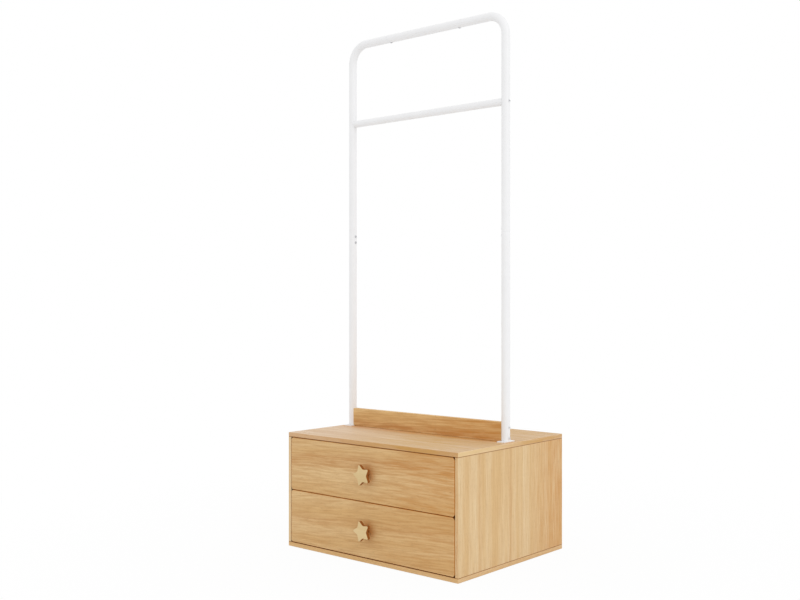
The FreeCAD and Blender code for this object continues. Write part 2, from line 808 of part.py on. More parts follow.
# Drawers
box_dowel_rows = ("Sizes.box_dowel_inset", "Sizes.box_height - Sizes.box_dowel_inset")
BACK_START = "(Sizes.runner_length - Sizes.box_board)"


def drawer_front(label, floor):
    body = board(
        label,
        (f"-{FRONT_WIDTH} / 2", f"-{HALF_DEPTH}", floor),
        (FRONT_WIDTH, "Sizes.board", FRONT_HEIGHT),
    )

    def along_thickness(middle, edge):
        return abs(edge.tangentAt(edge.FirstParameter).y) > PARALLEL

    def on_rim(middle, edge):
        return not along_thickness(middle, edge)

    round_edges(body, "Sizes.front_corner_round", along_thickness)
    round_edges(body, "Sizes.front_round", on_rim)
    centre = f"{FRONT_WIDTH} / 2"
    bore(
        body,
        "front",
        [(centre, f"{FRONT_HEIGHT} / 2")],
        "Sizes.knob_screw + 2 * Sizes.fit_play",
        "2 * Sizes.board",
    )
    lines = (
        f"{centre} - {BOX_HALF} + Sizes.box_board / 2",
        f"{centre} + {BOX_HALF} - Sizes.box_board / 2",
    )
    spots = [(x, f"Sizes.box_lift + {z}") for x in lines for z in box_dowel_rows]
    bore(body, "back", spots, DOWEL_BORE, "Sizes.dowel_depth + Sizes.fit_play")
    groove(
        body,
        "back",
        f"{centre} - {BOX_INSIDE} / 2 - Sizes.groove_depth",
        "Sizes.box_lift + Sizes.floor_lift",
        f"{BOX_INSIDE} + 2 * Sizes.groove_depth",
        GROOVE_WIDTH,
        "Sizes.groove_depth",
    )


def drawer_side(label, x, foot, inner_face, outer_face):
    body = board(
        label,
        (x, BOX_FRONT, foot),
        ("Sizes.box_board", "Sizes.runner_length", "Sizes.box_height"),
        "Sizes.edge_round",
    )
    groove(
        body, inner_face, "0", "Sizes.floor_lift", "Sizes.runner_length", GROOVE_WIDTH, "Sizes.groove_depth"
    )
    middle = "Sizes.box_board / 2"
    bore(body, "front", [(middle, z) for z in box_dowel_rows], DOWEL_BORE, f"{DOWEL_REST} + Sizes.fit_play")
    seat = "Sizes.runner_length - Sizes.box_board / 2"
    bore(body, inner_face, [(seat, z) for z in box_dowel_rows], DOWEL_BORE, "Sizes.box_dowel_seat")
    pilots = [(f"Sizes.runner_setback + {row}", "Sizes.box_height / 2") for row in screw_rows]
    bore(body, outer_face, pilots, "Sizes.runner_screw + Sizes.fit_play", "Sizes.runner_screw_length")


def drawer_back(label, foot):
    body = board(
        label,
        (f"-{BOX_INSIDE} / 2", f"{BOX_FRONT} + {BACK_START}", foot),
        (BOX_INSIDE, "Sizes.box_board", "Sizes.box_height"),
        "Sizes.edge_round",
    )
    groove(body, "front", "0", "Sizes.floor_lift", BOX_INSIDE, GROOVE_WIDTH, "Sizes.groove_depth")
    middle = "Sizes.box_board / 2"
    depth = "Sizes.dowel_length - Sizes.box_dowel_seat + 2 * Sizes.fit_play"
    for face in ("left", "right"):
        bore(body, face, [(middle, z) for z in box_dowel_rows], DOWEL_BORE, depth)


def drawer_dowels(name, foot):
    spots = []
    for sign in ("-", ""):
        x = f"{sign}({BOX_HALF} - Sizes.box_board / 2)"
        for z in box_dowel_rows:
            spots.append((x, f"{BOX_FRONT} - Sizes.dowel_depth", f"{foot} + {z}", FACE_BACK))
    back_line = f"{BOX_FRONT} + Sizes.runner_length - Sizes.box_board / 2"
    seat = f"({BOX_HALF} - Sizes.box_dowel_cover - Sizes.fit_play)"
    for z in box_dowel_rows:
        spots.append((f"-{seat}", back_line, f"{foot} + {z}", FACE_RIGHT))
        spots.append((seat, back_line, f"{foot} + {z}", FACE_LEFT))
    group(name, copies(dowel, spots))


for drawer_name, floor in DRAWER_FLOORS.items():
    foot = f"({floor} + Sizes.box_lift)"
    runner_middle = RUNNER_MIDDLES[drawer_name]
    drawer_front(f"{drawer_name}_drawer_front", floor)
    drawer_side(f"{drawer_name}_drawer_left_side", f"-{BOX_HALF}", foot, "right", "left")
    drawer_side(f"{drawer_name}_drawer_right_side", f"{BOX_HALF} - Sizes.box_board", foot, "left", "right")
    drawer_back(f"{drawer_name}_drawer_back", foot)
    board(
        f"{drawer_name}_drawer_bottom",
        (
            f"-{BOX_INSIDE} / 2 - {GROOVE_REACH}",
            f"{BOX_FRONT} - {GROOVE_REACH}",
            f"{foot} + Sizes.floor_lift + Sizes.groove_play",
        ),
        (f"{BOX_INSIDE} + 2 * {GROOVE_REACH}", f"{BACK_START} + 2 * {GROOVE_REACH}", "Sizes.thin_board"),
    )
    drawer_dowels(f"{drawer_name}_drawer_dowels", foot)
    knob_height = f"{floor} + {FRONT_HEIGHT} / 2"
    star_plate(f"{drawer_name}_star_plate", knob_height)
    knob_stem(f"{drawer_name}_knob_stem", knob_height)
    knob_screw(f"{drawer_name}_knob_screw", knob_height)
    left, right = runner_spots(runner_middle)
    for side, spot in (("left", left), ("right", right)):
        body = drawer_channel("drawer_channel")
        place(body, *spot)
        keep(f"{drawer_name}_{side}_drawer_runner", body)
    group(f"{drawer_name}_middle_runners", copies(middle_pattern, [left, right]))
    for cage_name, (across, reach) in CAGES.items():
        ball_cages(f"{drawer_name}_{cage_name}_ball_cages", runner_middle, across, reach)
    drawer_screw_spots = []
    inner_web = f"({INNER_HALF} - Sizes.runner_width + Sizes.runner_sheet)"
    for row in screw_rows:
        y = f"{RUNNER_START} + {row}"
        drawer_screw_spots.append((f"-{inner_web}", y, runner_middle, FACE_LEFT))
        drawer_screw_spots.append((inner_web, y, runner_middle, FACE_RIGHT))
    group(f"{drawer_name}_drawer_runner_screws", copies(runner_screw, drawer_screw_spots))


# Tubes of the rack, drawn with +X pointing from a post to the middle of the rack
def radial_hole(body, role, height, across_walls, from_minus=False):
    """Hole through one wall or both walls of a tube, square to its axis."""
    reach = f"{TUBE_RADIUS} + Sizes.cut_margin"
    depth = "Sizes.tube + 2 * Sizes.cut_margin" if across_walls else reach
    hole = BOLT_HOLE if across_walls else "Sizes.joint_screw + 2 * Sizes.fit_play"
    sketch = new_sketch(body, role, f"-({reach})" if from_minus else reach)
    if role == "YZ_Plane":
        draw_circle(sketch, "0", height, hole)
    else:
        draw_circle(sketch, height, "0", hole)
    pocket(body, sketch, depth, from_minus)


def straight_tube(label, role, diameter, length):
    body = new_body(label)
    sketch = new_sketch(body, role)
    draw_circle(sketch, "0", "0", diameter)
    draw_circle(sketch, "0", "0", f"{diameter} - 2 * Sizes.tube_wall")
    pad(body, sketch, length)
    return body


def lower_post(label, x, turn):
    length = f"Sizes.joint_height - {POST_FOOT}"
    body = straight_tube(label, "XY_Plane", "Sizes.tube", length)
    for bolt_height in ("Sizes.board_bolt_low", "Sizes.board_bolt_high"):
        radial_hole(body, "YZ_Plane", f"{bolt_height} - Sizes.plate", True)
    radial_hole(body, "YZ_Plane", f"{length} - Sizes.joint_pitch / 2", False)
    place(body, x, "0", POST_FOOT, turn)
    keep(label, body)


def corner_tube(label, x, turn):
    body = new_body(label)
    ring = new_sketch(body, "XY_Plane")
    draw_circle(ring, "0", "0", "Sizes.tube")
    draw_circle(ring, "0", "0", TUBE_BORE)
    path = new_sketch(body, "XZ_Plane")
    rise = "Sizes.rack_height - Sizes.joint_height"
    straight = f"{rise} - Sizes.bend_radius"
    end = f"{POST_X} - Sizes.rail_seam"
    bend = number("Sizes.bend_radius")
    corner = FreeCAD.Vector(0, number(straight), 0)
    high = number(rise)
    path.addGeometry(Part.LineSegment(FreeCAD.Vector(0, 0, 0), corner))
    centre = FreeCAD.Vector(bend, number(straight), 0)
    circle = Part.Circle(centre, FreeCAD.Vector(0, 0, 1), bend)
    path.addGeometry(Part.ArcOfCircle(circle, math.radians(90), math.radians(180)))
    path.addGeometry(Part.LineSegment(FreeCAD.Vector(bend, high, 0), FreeCAD.Vector(number(end), high, 0)))
    path.addConstraint(Sketcher.Constraint("Coincident", 0, 1, -1, 1))
    path.addConstraint(Sketcher.Constraint("Vertical", 0))
    path.addConstraint(Sketcher.Constraint("Horizontal", 2))
    path.addConstraint(Sketcher.Constraint("Tangent", 0, 2, 1, 2))
    path.addConstraint(Sketcher.Constraint("Tangent", 1, 1, 2, 1))
    tie(path, Sketcher.Constraint("Radius", 1, bend), "Sizes.bend_radius")
    tie(path, Sketcher.Constraint("DistanceY", -1, 1, 2, 2, high), rise)
    tie(path, Sketcher.Constraint("DistanceX", -1, 1, 2, 2, number(end)), end)
    doc.recompute()
    pipe = body.newObject("PartDesign::AdditivePipe", "Pipe")
    pipe.Profile = ring
    pipe.Spine = (path, ["Edge1", "Edge2", "Edge3"])
    body.Tip = pipe
    radial_hole(body, "YZ_Plane", "Sizes.joint_pitch / 2", False)
    radial_hole(body, "YZ_Plane", "Sizes.hanging_height - Sizes.joint_height", True)
    place(body, x, "0", "Sizes.joint_height", turn)
    keep(label, body)


for side, x, turn in (("left", f"-{POST_X}", NO_TURN), ("right", POST_X, HALF_TURN)):
    lower_post(f"{side}_lower_post", x, turn)
    corner_tube(f"{side}_corner_tube", x, turn)

top_rail = straight_tube("top_rail_tube", "YZ_Plane", "Sizes.tube", "2 * Sizes.rail_seam")
radial_hole(top_rail, "XY_Plane", "Sizes.joint_pitch / 2", False, True)
radial_hole(top_rail, "XY_Plane", "2 * Sizes.rail_seam - Sizes.joint_pitch / 2", False, True)
place(top_rail, "-Sizes.rail_seam", "0", "Sizes.rack_height")
keep("top_rail_tube", top_rail)

sleeve = straight_tube("sleeve_pattern", "XY_Plane", f"({TUBE_BORE} - Sizes.fit_play)", "Sizes.sleeve_length")
for height in ("Sizes.sleeve_length - Sizes.joint_pitch", "Sizes.sleeve_length + Sizes.joint_pitch"):
    radial_hole(sleeve, "YZ_Plane", f"({height}) / 2", False)
sleeve_foot = "Sizes.joint_height - Sizes.sleeve_length / 2"
group(
    "tube_sleeves",
    copies(
        sleeve,
        [
            (f"-{POST_X}", "0", sleeve_foot, NO_TURN),
            (POST_X, "0", sleeve_foot, HALF_TURN),
            ("-Sizes.rail_seam - Sizes.sleeve_length / 2", "0", "Sizes.rack_height", FACE_RIGHT),
            ("Sizes.rail_seam - Sizes.sleeve_length / 2", "0", "Sizes.rack_height", FACE_RIGHT),
        ],
    ),
)

joint_screw = screw(
    "joint_screw_pattern",
    "Sizes.joint_screw_head",
    "Sizes.joint_screw_head_height",
    "Sizes.joint_screw_socket",
    "Sizes.joint_screw",
    "Sizes.joint_screw_length",
    "Sizes.tube",
)
joint_spots = []
for sign in ("-", "+"):
    z = f"Sizes.joint_height {sign} Sizes.joint_pitch / 2"
    joint_spots.append((f"-{POST_X} + {TUBE_RADIUS}", "0", z, FACE_RIGHT))
    joint_spots.append((f"{POST_X} - {TUBE_RADIUS}", "0", z, FACE_LEFT))
rail_screw = "(Sizes.rail_seam - Sizes.joint_pitch / 2)"
rail_underside = f"Sizes.rack_height - {TUBE_RADIUS}"
joint_spots.append((f"-{rail_screw}", "0", rail_underside, TIP_OVER))
joint_spots.append((rail_screw, "0", rail_underside, TIP_OVER))
group("tube_joint_screws", copies(joint_screw, joint_spots))

# Hanging rail between the posts, drawn from post axis to post axis
hanging_rail = straight_tube("hanging_rail", "YZ_Plane", "Sizes.hanging_rail", POST_SPAN)
sketch = new_sketch(hanging_rail, "XY_Plane", "Sizes.hanging_rail")
draw_circle(sketch, "0", "0", COPE)
draw_circle(sketch, POST_SPAN, "0", COPE)
pocket(hanging_rail, sketch, "2 * Sizes.hanging_rail")
place(hanging_rail, f"-{POST_X}", "0", "Sizes.hanging_height")
keep("hanging_rail", hanging_rail)


def threaded_insert(label, diameter, length):
    body = new_body(label)
    sketch = new_sketch(body, "XY_Plane")
    draw_circle(sketch, "0", "0", diameter)
    draw_circle(sketch, "0", "0", "Sizes.bolt + Sizes.fit_play")
    pad(body, sketch, length)
    return body


insert_start = f"({POST_X} - {TUBE_RADIUS} - Sizes.insert_setback)"
rail_insert = threaded_insert(
    "rail_insert_pattern",
    "(Sizes.hanging_rail - 2 * Sizes.tube_wall - Sizes.fit_play)",
    "Sizes.rail_insert_length",
)
group(
    "hanging_rail_inserts",
    copies(
        rail_insert,
        [
            (f"-{insert_start}", "0", "Sizes.hanging_height", FACE_RIGHT),
            (insert_start, "0", "Sizes.hanging_height", FACE_LEFT),
        ],
    ),
)
post_bolt = screw(
    "post_bolt_pattern",
    "Sizes.bolt_head",
    "Sizes.bolt_head_height",
    "Sizes.bolt_socket",
    "Sizes.bolt",
    "Sizes.tube + Sizes.bolt_bite",
    "Sizes.tube",
)
post_outside = f"{POST_X} + {TUBE_RADIUS}"
group(
    "hanging_rail_bolts",
    copies(
        post_bolt,
        [
            (f"-({post_outside})", "0", "Sizes.hanging_height", FACE_LEFT),
            (post_outside, "0", "Sizes.hanging_height", FACE_RIGHT),
        ],
    ),
)

# Board between the posts, coped to them and notched over the base plates
rack_board = board(
    "rack_board",
    (f"-{POST_X}", "-Sizes.rack_board / 2", "Sizes.chest_height"),
    (POST_SPAN, "Sizes.rack_board", "Sizes.rack_board_height"),
    "Sizes.rack_board_round",
)
sketch = new_sketch(rack_board, "XY_Plane", "Sizes.rack_board_height")
draw_circle(sketch, "0", "Sizes.rack_board / 2", COPE)
draw_circle(sketch, POST_SPAN, "Sizes.rack_board / 2", COPE)
pocket(rack_board, sketch, "2 * Sizes.rack_board_height")
notch_length = "(Sizes.plate_width / 2 + Sizes.notch_play)"
notch_height = "Sizes.plate + Sizes.notch_play"
groove(rack_board, "front", "0", "0", notch_length, notch_height, "2 * Sizes.rack_board")
groove(
    rack_board,
    "front",
    f"{POST_SPAN} - {notch_length}",
    "0",
    notch_length,
    notch_height,
    "2 * Sizes.rack_board",
)
board_bolt_rows = ("Sizes.board_bolt_low", "Sizes.board_bolt_high")
insert_spots = [("Sizes.rack_board / 2", z) for z in board_bolt_rows]
insert_bore = "Sizes.board_insert + Sizes.fit_play"
insert_depth = f"{TUBE_RADIUS} + Sizes.insert_setback + Sizes.board_insert_length + Sizes.fit_play"
for face in ("left", "right"):
    bore(rack_board, face, insert_spots, insert_bore, insert_depth)
board_insert = threaded_insert("board_insert_pattern", "Sizes.board_insert", "Sizes.board_insert_length")
insert_copies = []
bolt_copies = []
for row in board_bolt_rows:
    z = f"Sizes.chest_height + {row}"
    insert_copies.append((f"-{insert_start}", "0", z, FACE_RIGHT))
    insert_copies.append((insert_start, "0", z, FACE_LEFT))
    bolt_copies.append((f"-({post_outside})", "0", z, FACE_LEFT))
    bolt_copies.append((post_outside, "0", z, FACE_RIGHT))
group("rack_board_inserts", copies(board_insert, insert_copies))
group("rack_board_bolts", copies(post_bolt, bolt_copies))

# Base plates under the posts, bolted through the top of the chest
for side, x in (("left", f"-{POST_X}"), ("right", POST_X)):
    plate = board(
        f"{side}_base_plate",
        (f"{x} - Sizes.plate_width / 2", "-Sizes.plate_depth / 2", "Sizes.chest_height"),
        ("Sizes.plate_width", "Sizes.plate_depth", "Sizes.plate"),
    )
    round_edges(
        plate,
        "Sizes.plate_round",
        lambda middle, edge: abs(edge.tangentAt(edge.FirstParameter).z) > PARALLEL,
    )
    rows = (
        "Sizes.plate_depth / 2 - Sizes.plate_bolt_reach",
        "Sizes.plate_depth / 2 + Sizes.plate_bolt_reach",
    )
    bore(plate, "top", [("Sizes.plate_width / 2", y) for y in rows], BOLT_HOLE, "2 * Sizes.plate")

plate_bolt = screw(
    "plate_bolt_pattern",
    "Sizes.bolt_head",
    "Sizes.plate_bolt_head_height",
    "Sizes.bolt_socket",
    "Sizes.bolt",
    "Sizes.plate + Sizes.board + Sizes.nut_flange_height + Sizes.nut_height + Sizes.bolt_tail",
)
nut = new_body("nut_pattern")
sketch = new_sketch(nut, "XY_Plane")
draw_circle(sketch, "0", "0", "Sizes.nut_flange")
pad(nut, sketch, "Sizes.nut_flange_height", True)
sketch = new_sketch(nut, "XY_Plane", "-Sizes.nut_flange_height")
draw_hexagon(sketch, "Sizes.nut")
pad(nut, sketch, "Sizes.nut_height", True)
sketch = new_sketch(nut, "XY_Plane")
draw_circle(sketch, "0", "0", "Sizes.bolt + Sizes.fit_play")
pocket(nut, sketch, "2 * (Sizes.nut_height + Sizes.nut_flange_height)")
plate_bolt_spots = [
    (x, y) for x in (f"-{POST_X}", POST_X) for y in ("-Sizes.plate_bolt_reach", "Sizes.plate_bolt_reach")
]
group("base_plate_bolts", copies(plate_bolt, [(x, y, POST_FOOT, NO_TURN) for x, y in plate_bolt_spots]))
group("base_plate_nuts", copies(nut, [(x, y, TOP_SEAM, NO_TURN) for x, y in plate_bolt_spots]))

# Check every object, then write each piece
doc.recompute()
for item in doc.Objects:
    if "Invalid" in item.State or "Error" in item.State:
        raise RuntimeError(f"{item.Label} does not build: {item.State}")
os.makedirs("parts", exist_ok=True)
for name, item in nodes.items():
    if item.Shape.isNull() or not item.Shape.isValid() or not item.Shape.Solids:
        raise RuntimeError(f"{name} has no sound solid")
    item.Shape.exportStep(f"parts/{name}.step")
print(len(nodes), "pieces written")
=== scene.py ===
"""Clothes storage unit in a white studio: finishes for every piece, weld beads, light and camera."""

import math

import bpy
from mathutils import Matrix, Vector


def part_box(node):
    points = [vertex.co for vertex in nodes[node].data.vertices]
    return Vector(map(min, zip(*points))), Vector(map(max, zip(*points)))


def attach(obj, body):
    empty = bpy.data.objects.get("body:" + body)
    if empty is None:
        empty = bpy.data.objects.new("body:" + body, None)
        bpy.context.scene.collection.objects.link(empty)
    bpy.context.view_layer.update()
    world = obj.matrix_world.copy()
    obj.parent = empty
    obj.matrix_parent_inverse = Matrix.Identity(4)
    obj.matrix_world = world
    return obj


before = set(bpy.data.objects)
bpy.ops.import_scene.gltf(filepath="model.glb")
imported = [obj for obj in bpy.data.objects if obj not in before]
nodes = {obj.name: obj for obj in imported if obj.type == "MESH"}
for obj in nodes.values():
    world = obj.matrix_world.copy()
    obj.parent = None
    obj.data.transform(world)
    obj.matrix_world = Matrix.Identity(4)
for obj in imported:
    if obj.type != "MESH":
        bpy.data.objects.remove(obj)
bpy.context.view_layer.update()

# Curve between the colours of a screen and the light that they stand for
SCREEN_WHITE = 255
CURVE_KNEE = 0.04045
CURVE_SLOPE = 12.92
CURVE_OFFSET = 0.055
CURVE_POWER = 2.4


def colour(red, green, blue):
    """Colour as it looks on a screen, 0 to 255, turned into the linear values that shaders take."""
    linear = []
    for part in (red, green, blue):
        share = part / SCREEN_WHITE
        curved = ((share + CURVE_OFFSET) / (1 + CURVE_OFFSET)) ** CURVE_POWER
        linear.append(share / CURVE_SLOPE if share <= CURVE_KNEE else curved)
    return (*linear, 1.0)


# Building blocks for materials
def plug_in(tree, node, values):
    """Give each input of a node a plain value or a link from another node."""
    for socket, value in values.items():
        if isinstance(value, bpy.types.NodeSocket):
            tree.links.new(value, node.inputs[socket])
        else:
            node.inputs[socket].default_value = value


def put(tree, kind, values, **options):
    """Add a node, set its options and fill its inputs."""
    node = tree.nodes.new(kind)
    for option, setting in options.items():
        setattr(node, option, setting)
    plug_in(tree, node, values)
    return node


def sums(tree, operation, first, second=0.0):
    """Result of a sum on one or two values."""
    return put(tree, "ShaderNodeMath", {0: first, 1: second}, operation=operation).outputs[0]


def vectors(tree, operation, first, second=(0.0, 0.0, 0.0)):
    """Result of a sum on one or two vectors."""
    return put(tree, "ShaderNodeVectorMath", {0: first, 1: second}, operation=operation).outputs[0]


def distance(tree, vector):
    """Length of a vector."""
    return put(tree, "ShaderNodeVectorMath", {0: vector}, operation="LENGTH").outputs["Value"]


def split(tree, vector):
    """The X, Y and Z of a vector."""
    return put(tree, "ShaderNodeSeparateXYZ", {0: vector}).outputs


def join(tree, along, across, through):
    """Vector made of three values."""
    return put(tree, "ShaderNodeCombineXYZ", {0: along, 1: across, 2: through}).outputs[0]


def ramp(tree, value, low, high, start=0.0, end=1.0):
    """Smooth step of a value between two limits."""
    inputs = {"Value": value, "From Min": low, "From Max": high, "To Min": start, "To Max": end}
    return put(tree, "ShaderNodeMapRange", inputs, interpolation_type="SMOOTHSTEP").outputs["Result"]


def near(tree, value, middle, reach):
    """Mask that is 1 where a value equals its middle and 0 from the reach on."""
    away = sums(tree, "ABSOLUTE", sums(tree, "SUBTRACT", value, middle))
    return ramp(tree, away, reach, 0.0)


def noise(tree, vector, grains, detail=2.0, roughness=0.5):
    """Noise with its own number of grains in a metre along each axis."""
    spread = vectors(tree, "MULTIPLY", vector, grains)
    inputs = {"Vector": spread, "Scale": 1.0, "Detail": detail, "Roughness": roughness}
    return put(tree, "ShaderNodeTexNoise", inputs).outputs["Fac"]


# Sockets of the mix node for each kind of data: its two inputs and its output
MIX_SOCKETS = {"RGBA": (6, 7, 2), "VECTOR": (4, 5, 1)}


def blend(tree, kind, share, first, second):
    """Blend of two colours or of two vectors."""
    first_input, second_input, output = MIX_SOCKETS[kind]
    inputs = {0: share, first_input: first, second_input: second}
    return put(tree, "ShaderNodeMix", inputs, data_type=kind, clamp_factor=True).outputs[output]


def stain(tree, mask, share, shade, tone):
    """Blend a tone into a shade by a share of a mask."""
    return blend(tree, "RGBA", sums(tree, "MULTIPLY", mask, share), shade, tone)


FLOAT = "NodeSocketFloat"
VECTOR = "NodeSocketVector"


def new_group(name, inputs, outputs):
    """New node group: itself, the sockets that it is given and the sockets that it fills."""
    group = bpy.data.node_groups.new(name, "ShaderNodeTree")
    for label, kind in inputs:
        group.interface.new_socket(name=label, in_out="INPUT", socket_type=kind)
    for label in outputs:
        group.interface.new_socket(name=label, in_out="OUTPUT", socket_type=FLOAT)
    return group, group.nodes.new("NodeGroupInput").outputs, group.nodes.new("NodeGroupOutput").inputs


def marks_of(tree, group, values):
    """Place a node group in a material, fill its inputs and give its outputs."""
    node = tree.nodes.new("ShaderNodeGroup")
    node.node_tree = group
    plug_in(tree, node, values)
    return node.outputs


def new_material(name):
    """New material: itself, its node tree, its shader and its coordinates."""
    material = bpy.data.materials.new(name)
    material.use_nodes = True
    tree = material.node_tree
    return material, tree, tree.nodes["Principled BSDF"], tree.nodes.new("ShaderNodeTexCoord").outputs


def finish_shader(tree, shader, shade, rough, relief, depth):
    """Feed the shader its colour, its roughness and a fine relief of the given depth in metres."""
    height = put(tree, "ShaderNodeBump", {"Height": relief, "Distance": depth, "Strength": 1.0})
    inputs = {"Base Color": shade, "Roughness": rough, "Normal": height.outputs["Normal"]}
    plug_in(tree, shader, inputs)


def dress(material, *names):
    """Give each named piece this one material."""
    for name in names:
        slots = nodes[name].data.materials
        slots.clear()
        slots.append(material)


# Noises that bend and spread the growth rings: their grains in a metre, and how far they reach
NOISE_MIDDLE = 0.5
SWAY_GRAINS = (1.6, 4.0, 4.0)
RIPPLE_GRAINS = (10.0, 20.0, 20.0)
RIPPLE_DETAIL = 1.0
RIPPLE_REACH = 0.003
JITTER_GRAINS = (5.0, 70.0, 1.0)
BAND_WANDER = 0.02

# Parts of a year's ring over which the late wood darkens and over which it ends
LATE_WOOD_RISE = (0.2, 0.9)
LATE_WOOD_END = (1.0, 0.92)

# Marks that follow the rings: grains in a metre, detail and roughness of the noise, limits of the mark
RING_MARKS = {
    "Streaks": ((2.2, 60.0, 1.0), 3.0, 0.6, (0.38, 0.66)),
    "Lines": ((9.0, 210.0, 1.0), 3.0, 0.6, (0.34, 0.7)),
    "Fibre": ((12.0, 520.0, 1.0), 3.0, 0.6, None),
    "Pores": ((55.0, 1500.0, 1.0), 1.0, 0.5, (0.6, 0.72)),
    "Drift": ((0.8, 18.0, 1.0), 2.5, 0.55, (0.34, 0.66)),
}

# Wood figure: growth rings round a slanting heart, the marks that follow them, and swaying places for bands
wood_figure, given, made = new_group(
    "wood_figure",
    [
        ("Grain", VECTOR),
        ("Heart", VECTOR),
        ("Slant", FLOAT),
        ("Tilt", FLOAT),
        ("Ring Pitch", FLOAT),
        ("Wander", FLOAT),
        ("Seed", VECTOR),
    ],
    ["Rings", *RING_MARKS, "Along", "Across"],
)
tree = wood_figure
place = split(tree, given["Grain"])
level = sums(tree, "SUBTRACT", place["Y"], sums(tree, "MULTIPLY", place["X"], given["Tilt"]))
tilted = join(tree, place["X"], level, place["Z"])
seeded = vectors(tree, "ADD", tilted, given["Seed"])
sway = sums(tree, "SUBTRACT", noise(tree, seeded, SWAY_GRAINS), NOISE_MIDDLE)
ripple = sums(tree, "SUBTRACT", noise(tree, seeded, RIPPLE_GRAINS, RIPPLE_DETAIL), NOISE_MIDDLE)
from_heart = split(tree, vectors(tree, "SUBTRACT", tilted, given["Heart"]))
bent = sums(tree, "ADD", sums(tree, "MULTIPLY", sway, given["Wander"]), from_heart["Y"])
across = sums(tree, "ADD", sums(tree, "MULTIPLY", ripple, RIPPLE_REACH), bent)
lean = sums(tree, "ADD", sums(tree, "MULTIPLY", from_heart["X"], given["Slant"]), from_heart["Z"])
radius = distance(tree, join(tree, 0.0, across, lean))
flow = vectors(tree, "ADD", join(tree, from_heart["X"], radius, 0.0), given["Seed"])
jitter = noise(tree, flow, JITTER_GRAINS)
turns = sums(tree, "ADD", sums(tree, "DIVIDE", radius, given["Ring Pitch"]), jitter)
year = sums(tree, "FRACT", turns)
late_wood = sums(tree, "MULTIPLY", ramp(tree, year, *LATE_WOOD_RISE), ramp(tree, year, *LATE_WOOD_END))
tree.links.new(late_wood, made["Rings"])
for mark, (grains, detail, roughness, limits) in RING_MARKS.items():
    strength = noise(tree, flow, grains, detail, roughness)
    tree.links.new(ramp(tree, strength, *limits) if limits else strength, made[mark])
swayed = sums(tree, "MULTIPLY", sway, BAND_WANDER)
tree.links.new(sums(tree, "ADD", place["X"], swayed), made["Along"])
tree.links.new(sums(tree, "ADD", level, swayed), made["Across"])

# Edges of a board: a mask that is 1 where two faces meet, from the board's middle and half lengths
board_edges, given, made = new_group(
    "board_edges",
    [("Place", VECTOR), ("Middle", VECTOR), ("Half", VECTOR), ("Reach", FLOAT)],
    ["Edge"],
)
tree = board_edges
from_middle = vectors(tree, "ABSOLUTE", vectors(tree, "SUBTRACT", given["Place"], given["Middle"]))
inward = split(tree, vectors(tree, "SUBTRACT", given["Half"], from_middle))
nearer = sums(tree, "MINIMUM", inward["X"], inward["Y"])
further = sums(tree, "MAXIMUM", inward["X"], inward["Y"])
second_nearest = sums(tree, "MAXIMUM", nearer, sums(tree, "MINIMUM", further, inward["Z"]))
tree.links.new(ramp(tree, second_nearest, given["Reach"], 0.0), made["Edge"])

# Powder coat: the slight orange peel and unevenness of sprayed and baked paint
PEEL_GRAINS = (750.0, 750.0, 750.0)
CLOUD_GRAINS = (22.0, 22.0, 22.0)
CLOUD_DETAIL = 3.0
powder_coat, given, made = new_group("powder_coat", [("Place", VECTOR)], ["Peel", "Cloud"])
tree = powder_coat
tree.links.new(noise(tree, given["Place"], PEEL_GRAINS), made["Peel"])
tree.links.new(noise(tree, given["Place"], CLOUD_GRAINS, CLOUD_DETAIL), made["Cloud"])

# Plated steel: cloudy spangle and fine drawn lines
SPANGLE_GRAINS = (160.0, 160.0, 160.0)
SPANGLE_DETAIL = 3.0
DRAWN_GRAINS = (900.0, 30.0, 900.0)
plated_steel, given, made = new_group("plated_steel", [("Place", VECTOR)], ["Spangle", "Lines"])
tree = plated_steel
tree.links.new(noise(tree, given["Place"], SPANGLE_GRAINS, SPANGLE_DETAIL), made["Spangle"])
tree.links.new(noise(tree, given["Place"], DRAWN_GRAINS), made["Lines"])

# Axes of the object that lie along, across and through the grain of a board
LYING = "XYZ"
UPRIGHT = "XZY"
STANDING = "ZYX"
LENGTHWAYS = "YZX"

# How squarely a surface has to face an axis to be an end or a long edge of the board
SQUARE_ON = 0.7


def grain_of(tree, coordinates, grain):
    """Coordinates along, across and through the grain, with banding on the board's ends and long edges."""
    place = split(tree, coordinates["Object"])
    facing = split(tree, coordinates["Normal"])
    along, across, through = grain
    turned = join(tree, place[along], place[across], place[through])
    bands = {
        along: join(tree, place[across], place[through], place[along]),
        across: join(tree, place[along], place[through], place[across]),
    }
    for axis, band in bands.items():
        on_band = sums(tree, "GREATER_THAN", sums(tree, "ABSOLUTE", facing[axis]), SQUARE_ON)
        turned = blend(tree, "VECTOR", on_band, turned, band)
    return turned


# Fibres and pores of the wood, and the relief that they make
FIBRE_LIMITS = (0.42, 0.8)
FIBRE_SHARE = 0.3
PORE_TONE = colour(140, 98, 56)
PORE_SHARE = 0.3
PORE_DEPTH = 0.6
GRAIN_RELIEF = 0.00006

# Shine of the wood, and how much smoother and rougher than the board a single fibre can be
WOOD_SHINE = 0.15
WOOD_ROUGHNESS = 0.5
SMOOTHER = 0.06
ROUGHER = 0.1
ROUGHNESS_LIMITS = (0.2, 0.8)

# Share of a band that is left between the lines of the wood
BAND_REST = 0.45

# Edges of a board, a little paler than its faces where nothing else is given: partly paler edge wood,
# partly a painted highlight where the rounded edges catch light
EDGE_REACH = 0.003
EDGE_SHARE = 0.25

# Painted shade: a dark line in the groove where two boards meet
SEAM_SHADE_TONE = colour(150, 84, 14)
SEAM_REACH = 0.0019
SEAM_SHADE_SHARE = 0.88

# How far a surface has to turn towards an axis to be one of the board's faces on that axis
FACE_TURN = (0.5, 0.8)

# Painted shade on the wood round a knob
KNOB_SHADE_TONE = colour(200, 118, 24)
KNOB_SHADE_SHARE = 0.7
KNOB_SHADE_REACH = 0.048
